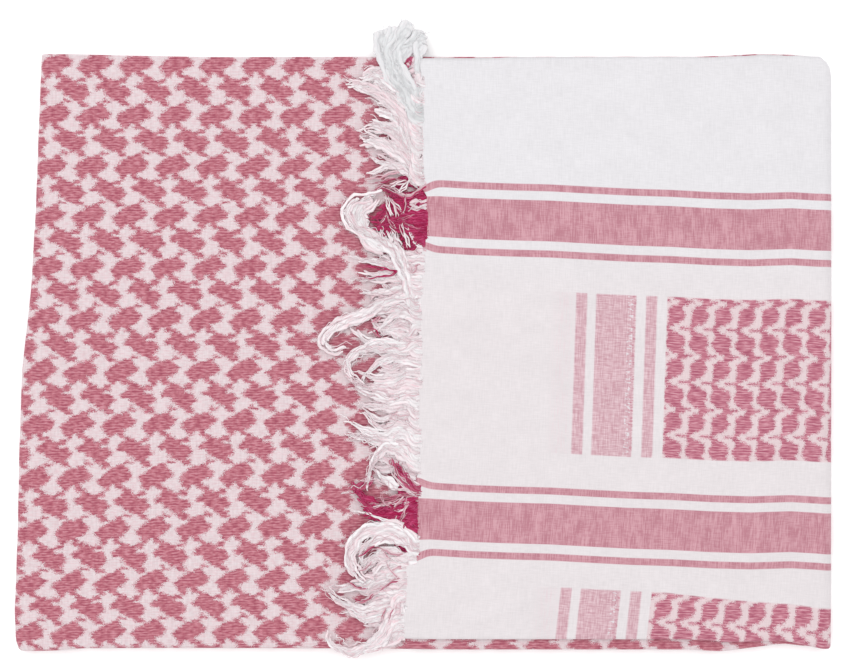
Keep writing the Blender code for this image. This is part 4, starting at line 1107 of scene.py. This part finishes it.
def kinked(course, share, amount, fine, draw):
    # Handled yarn keeps small uneven waves.
    along = share * course["length"]
    phase = draw.uniform(0.0, 2 * math.pi, 2)
    return amount * np.sin(2 * math.pi * along / draw.uniform(7.0, 12.0) + phase[0]) \
        + fine * np.sin(2 * math.pi * along / draw.uniform(3.6, 5.4) + phase[1])


def strand(course, lock, number, count, draw, core=False):
    # One of a lock's strands, or the flat core below them: closed, with a worn blunt tip.
    form, tuft = lockForm, lock["tip"] > 1
    phase = draw.uniform(0.0, 2 * math.pi, 4)
    last = draw.uniform(0.9, 1.0) if tuft else draw.uniform(0.84, 1.03)
    overlap = form["tuftOverlap"] if tuft else form["overlap"]
    if lock["width"] < form["fineBelow"]:
        overlap = form["fineOverlap"]
    if core:
        last, overlap = form["tuftCore"] if tuft else form["core"]
    halfStrand = lock["width"] / 2 / count * overlap
    cap = 1 - min(0.3, 1.1 * halfStrand / course["length"])
    rings = int(np.clip(course["length"] / form["ringPitch"], 12, form["mostRings"]))
    turn = np.linspace(0.0, 1.4, form["capRings"])
    share = np.concatenate([np.linspace(0.0, cap, rings)[:-1],
                            cap + (1 - cap) * np.sin(turn)]) * last
    close = np.concatenate([np.ones(rings - 1), np.cos(turn)])
    if not course["held"]:
        close[:3] = (0.2, 0.75, 0.95)
    loose = smooth(share / 0.3)
    offset = (2 * (number + 0.5) / count - 1) * np.ones(len(share))
    offset = offset + form["crossing"] * np.sin(5.2 * share + phase[0]) * loose
    kink = kinked(course, share, form["kink"], form["fineKink"], draw)
    if core:
        offset, kink = form["coreOffset"] * offset, form["coreKink"] * kink
    x, y, height, halfHeight, halfWidth, fan, normalX, normalY = placeOn(
        course, share, offset, kink)
    taper = form["tuftTaper"] if tuft else form["taper"]
    half = halfWidth / count * overlap * (1 - taper * smooth((share / last - 0.4) / 0.6))
    uneven = form["strandUneven"] * np.sin(0.9 * share * course["length"] + phase[3])
    half = half * (1 + uneven * (1 - fan))
    thick = np.minimum(halfHeight, form["roundness"] * half) * (1 - fan) + halfHeight * fan
    if core:
        height = height - form["coreSink"] * (1 - fan)
        thick = np.minimum(thick, form["coreThickness"] * halfHeight)
    else:
        lift = form["lift"] * (number % 2) * (form["tuftLift"] if tuft else 1.0)
        wave = form["strandWave"] * np.sin(5.0 * share + phase[1])
        height = height + (lift + wave) * loose * (1 - fan)
    middle = rest(y, height, thick, course["droop"])
    angle = 2 * math.pi * np.arange(form["sides"]) / form["sides"] - math.pi / 2
    close = close[:, None]
    wide = np.cos(angle) * half[:, None] * close
    rise = np.sin(angle) * thick[:, None] * close
    points = lay(x[:, None] + normalX[:, None] * wide, y[:, None] + normalY[:, None] * wide,
                 middle[:, None] + rise)
    return points, form["mapGirth"] * 2 * halfStrand


def strayYarn(course, draw):
    # A single yarn that curls over a lock and ends near its tip.
    form = lockForm
    first = 0.02 if draw.random() < 0.5 else draw.uniform(0.1, 0.45)
    share = np.linspace(first, min(1.04, first + draw.uniform(0.35, 0.95)), form["strayRings"])
    phase = draw.uniform(0.0, 2 * math.pi)
    offset = draw.uniform(-0.95, 0.95) + 0.55 * np.sin(6.0 * share + phase)
    offset = offset + draw.normal(0.0, 0.8) * np.clip((share - 0.7) / 0.3, 0.0, None) ** 2
    kink = kinked(course, share, form["strayKink"], 0.5 * form["strayKink"], draw)
    x, y, height, halfHeight = placeOn(course, share, offset, kink)[:4]
    middle = rest(y, height, halfHeight, course["droop"])
    over = halfHeight * np.sqrt(np.clip(1 - offset ** 2, 0.05, 1.0))
    points = lay(x, y, middle + over + form["strayLift"])
    tangent = np.gradient(points, axis=0)
    tangent /= np.linalg.norm(tangent, axis=-1, keepdims=True)
    side = np.cross(tangent, (0.0, 0.0, 1.0))
    side /= np.linalg.norm(side, axis=-1, keepdims=True)
    up = np.cross(side, tangent)
    angle = -2 * math.pi * np.arange(form["straySides"]) / form["straySides"]
    radius = form["strayRadius"] * mm * draw.uniform(0.7, 1.3)
    ring = np.cos(angle)[:, None] * side[:, None, :] + np.sin(angle)[:, None] * up[:, None, :]
    return points[:, None, :] + radius * ring, form["strayGirth"]


def closeTube(points, girth, first):
    # A closed tube's corners, faces and map. Its rings run from the root to the tip.
    rings, sides = points.shape[:2]
    index = first + np.arange(rings * sides).reshape(rings, sides)
    after = np.roll(index, -1, axis=1)
    quads = np.stack([index[:-1], index[1:], after[1:], after[:-1]], axis=-1).reshape(-1, 4)
    faces = quads.tolist() + [index[0].tolist(), index[-1, ::-1].tolist()]
    middle = points.mean(axis=1)
    along = np.concatenate([[0.0], np.cumsum(np.linalg.norm(np.diff(middle, axis=0), axis=-1))])
    around = np.arange(sides) / sides * girth * mm
    places = np.empty((rings - 1, sides, 4, 2))
    places[..., 0, 0] = places[..., 3, 0] = along[:-1, None]
    places[..., 1, 0] = places[..., 2, 0] = along[1:, None]
    places[..., 0, 1] = places[..., 1, 1] = around
    places[..., 2, 1] = places[..., 3, 1] = around + girth * mm / sides
    return faces, np.concatenate([places.reshape(-1, 2), np.zeros((2 * sides, 2))])


def lockTubes(lock, level, draw):
    # One lock's core, strands and stray yarns, each with its girth and its share of crimson dye and
    # painted pink shade.
    course = lockCourse(lock, draw, level)
    fine = lock["width"] < lockForm["fineBelow"]
    pitch = lockForm["fineWidth"] if fine else lockForm["strandWidth"]
    strands = max(2, round(lock["width"] / pitch))
    tubes = []
    if not fine:
        tubes.append((*strand(course, lock, 0, 1, draw, core=True), lock["dye"]))
    for k in range(strands):
        shift = lockForm["fineDye"] * (2 * k / (strands - 1) - 1) * fine
        dye = min(max(lock["dye"] + shift * draw.uniform(-1.0, 1.0), 0.0), 1.0)
        tubes.append((*strand(course, lock, k, strands, draw), dye))
    for k in range(0 if fine else lockForm["strays"]):
        # Some stray yarns on white locks take a small crimson share: painted pink shade.
        dye = float(draw.random() < lock["dye"]) if lock["dye"] > 0.5 \
            else lockForm["pinkShade"] * (draw.random() < lockForm["pinkShadeChance"]) * (lock["tip"] < 1)
        tubes.append((*strayYarn(course, draw), dye))
    return tubes


def buildLocks(name, lockSets, seed, surface):
    # Joins each lock's body and its stray yarns in one mesh.
    draw = np.random.default_rng(seed)
    tubes = [tube for locks, level in lockSets for lock in locks
             for tube in lockTubes(lock, level, draw)]
    corners, faces, places, dyes, tones = [], [], [], [], []
    count = 0
    for points, girth, dye in tubes:
        tubeFaces, tubePlaces = closeTube(points, girth, count)
        total = points.shape[0] * points.shape[1]
        count += total
        corners.append(points.reshape(-1, 3))
        faces += tubeFaces
        places.append(tubePlaces + draw.uniform(0.0, 0.2, 2))
        dyes.append(np.full(total, dye))
        tones.append(np.full(total, draw.random()))
    piece = newPiece(name, np.concatenate(corners), faces, "yarn", np.concatenate(places), surface)
    for key, values in (("dye", dyes), ("tone", tones)):
        attribute = piece.data.attributes.new(key, "FLOAT", "POINT")
        attribute.data.foreach_set("value", np.concatenate(values).astype(np.float32))
    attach(piece, "root")
    print(name, len(tubes), "locks and yarns,", len(faces), "faces")
    return piece


# Each white is its colour, its painted shade, pinkish on the warp ends, and the painted shade in
# the grooves between its yarns.
spun = dict(
    # The corner tuft's whites are a darker, greyer copy of the warp ends' white: painted shade.
    white=("#e6e1e3", "#dccbcf", "#d2a6b0"), tuftWhite=("#d5d4d6", "#d3d2d4", "#cdc9cc"),
    # The crimson's groove colour is painted shade, and its pale colour a painted highlight.
    crimson="#951040", crimsonGrooveShade="#7a0c38", crimsonHighlight="#bd527a", paleByStrand=0.3,
    fibres=(4.0, 0.4, 1.3), strands=(6.0, 0.8, 7.7), grooveShadeTone=(0.3, 0.44, 0.5, 0.0),
    highlightFleckTone=(0.46, 0.72, 0.0, 0.85), fibreTone=(0.3, 0.7, 0.95, 1.04), roughness=0.95,
    specular=0.1, sheen=0.05, bump=0.35, glow=0.3, glowColour=(1.0, 0.85, 0.85), glowReach=0.9,
)


def makeSpunCotton(name, whiteHex, shadeHex, grooveShadeHex):
    # Soft spun cotton in loose locks: matt, with fine fibre lines, white or dyed crimson, with
    # painted shade in its grooves and painted highlights on the crimson.
    size = spun
    surface, tree, shader = newSurface(name, size["roughness"], size["sheen"],
                                       specular=size["specular"])
    tone, dye = (addNode(tree, "Attribute", {"attribute_name": key}).outputs["Fac"]
                 for key in ("tone", "dye"))
    place = clothPlace(tree, "yarn")[0]
    fibres = threadNoise(tree, place, *size["fibres"])
    strands = threadNoise(tree, place, *size["strands"], detail=1.0)
    # In lines along the yarns the colour darkens to a painted groove shade, pinkish on white and
    # deeper on crimson.
    grooveShade = remap(tree, strands, *size["grooveShadeTone"], soft=True)
    # Each tube's random tone mixes its white towards its painted shade, pinkish on the warp ends.
    white = mixed(tree, grooveShade, mixed(tree, tone, whiteHex, shadeHex), grooveShadeHex)
    crimson = mixed(tree, grooveShade, size["crimson"], size["crimsonGrooveShade"])
    # The crimson lightens towards a painted highlight colour: in flecks along its fibres, and at
    # random from strand to strand.
    for pale in (remap(tree, fibres, *size["highlightFleckTone"]),
                 calc(tree, "MULTIPLY", tone, size["paleByStrand"])):
        crimson = mixed(tree, pale, crimson, size["crimsonHighlight"])
    colour = scaled(tree, mixed(tree, dye, white, crimson),
                    remap(tree, fibres, *size["fibreTone"]))
    tree.links.new(colour.outputs[0], shader.inputs["Base Color"])
    setBump(tree, shader, calc(tree, "ADD", fibres, strands), size["bump"])
    shader.inputs["Subsurface Weight"].default_value = size["glow"]
    shader.inputs["Subsurface Radius"].default_value = size["glowColour"]
    shader.inputs["Subsurface Scale"].default_value = size["glowReach"] * mm
    return surface


spunCotton = makeSpunCotton("spun cotton warp ends", *spun["white"])
# The tuft's cotton is the same as the warp ends', with its whites painted darker and greyer:
# painted shade.
tuftCotton = makeSpunCotton("spun cotton in the corner tuft", *spun["tuftWhite"])


def buildCloth():
    roll, wideRoll = sheets["selvedgeRoll"], sheets["foldedRoll"]
    top, low = fold["topEdge"], fold["lowEdge"]
    strip, flap = fold["stripHeight"], fold["flapHeight"]
    pieces = {}

    line = foldLine(*sheets["fieldEnds"], -1, strip, sheets["stripInsets"][0],
                    sheets["fieldPitch"])
    rows = crossLine(low, top, sheets["fieldPitch"], wideRoll, roll)
    pieces["fieldCloth"], flat = buildSheet("fieldCloth", line, rows, fieldMap, figuredCotton)
    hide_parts("field_stretch")

    line = foldLine(*sheets["flapEnds"], 1, flap, sheets["flapInsets"][0], sheets["flapPitch"],
                    fineEnd=True)
    rows = crossLine(fold["flapLowEdge"], fold["flapTopEdge"], sheets["flapPitch"],
                     sheets["flapRoll"])
    pieces["turnedEnd"], flat = buildSheet("turnedEnd", line, rows, bandMap, bandedCotton,
                                           moveFlap)
    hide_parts("turned_end")
    pieces["turnedEndFlat"] = flat

    # Inside layers: each is a sheet of its own, free or folded at its long edges. Its side,
    # height and level come first, then its map and cotton, its low and high edge and their rolls.
    inside = [
        ("stripLayerA", -1, strip, 1, fieldMap, figuredCotton, low + 1.2, top - 8.5, roll, 0.0),
        ("stripLayerB", -1, strip, 2, bandMap, bandedCotton, low + 9.0, top - 0.5, 0.0, 0.0),
        ("stripLayerC", -1, strip, 3, bandMap, bandedCotton, low + 10.0, top - 1.2, 0.0, 0.0),
        ("flapLayerA", 1, flap, 1, bandMap, bandedCotton, -149.6, 139.5, roll, 0.0),
        ("flapLayerB", 1, flap, 2, fieldMap, figuredCotton, -141.0, 139.2, 0.0, roll),
        ("flapLayerC", 1, flap, 3, fieldMap, figuredCotton, -141.0, 131.0, 0.0, 0.0),
    ]
    for name, side, height, level, mapping, surface, lowY, highY, lowRoll, highRoll in inside:
        insets = sheets["stripInsets"] if side < 0 else sheets["flapInsets"]
        ends = sheets["insideEnds"][0 if side < 0 else 1]
        line = foldLine(*ends, side, height, insets[level], sheets["hiddenPitch"])
        rows = crossLine(lowY, highY, sheets["hiddenPitch"], lowRoll, highRoll)
        move = moveInside if side > 0 else None
        piece, flat = buildSheet(name, line, rows, mapping, surface, move)
        if level == 1:
            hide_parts("hidden_layers" if side < 0 else "turned_layers")
        pieces[name] = piece
    return pieces


cloth = buildCloth()
print("cloth laid")


def buildFringe():
    # The white under-level locks take a 0.15 share of crimson: painted pink shade.
    whiteLow = lowerLocks(138.6, 81.0, 0.15, (6.0, 19.0), (-3.0, 11.0)) \
        + lowerLocks(42.0, -69.6, 0.15, (21.0, 20.0), (2.0, 3.0)) \
        + lowerLocks(-110.0, -151.0, 0.15, (20.0, 15.0), (-3.0, -4.0))
    crimsonLow = lowerLocks(80.6, 42.4, 1.0, (17.0, 9.0), (-3.0, 1.0)) \
        + lowerLocks(-70.0, -109.6, 1.0, (15.0, 12.0), (3.0, 1.0))
    high = ["fringe_high_white_%d" % k for k in (1, 2, 3)]
    # Each piece: its locks with their level, and the nodes it stands for. A level has the
    # locks' root and resting heights, their tuck into the cloth and their droop past the edge.
    plans = [
        ("whiteFringe", [(whiteLocks, dict(root=11.3, rest=9.4, droop=0.2, tuck=2.3))], high),
        ("whiteFringeUnder", [(whiteLow, dict(root=10.5, rest=8.75, droop=0.2, tuck=0.9))],
         [name.replace("high", "low") for name in high]),
        ("crimsonFringe", [(crimsonLocks, dict(root=11.3, rest=9.6, droop=0.0, tuck=1.4)),
                           (crimsonLow, dict(root=10.5, rest=8.75, droop=0.0, tuck=0.9))],
         ["fringe_high_red_1", "fringe_high_red_2", "fringe_low_red_1", "fringe_low_red_2"]),
        ("cornerTuft", [(tuftLocks, dict(root=11.35, rest=10.1, droop=0.25, tuck=2.0))],
         ["corner_tuft"]),
        ("looseLocks", [(looseLocks, dict(root=11.35, rest=10.3, droop=0.2, tuck=2.3))],
         ["loose_hook", "loose_upper_loop", "loose_lower_loop"]),
    ]
    made = []
    for seed, (name, lockSets, nodes) in enumerate(plans):
        surface = tuftCotton if name == "cornerTuft" else spunCotton
        piece = buildLocks(name, lockSets, 3 + 2 * seed, surface)
        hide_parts(*nodes)
        made.append(piece)
    return made


fringe = buildFringe()
print("fringe spun")
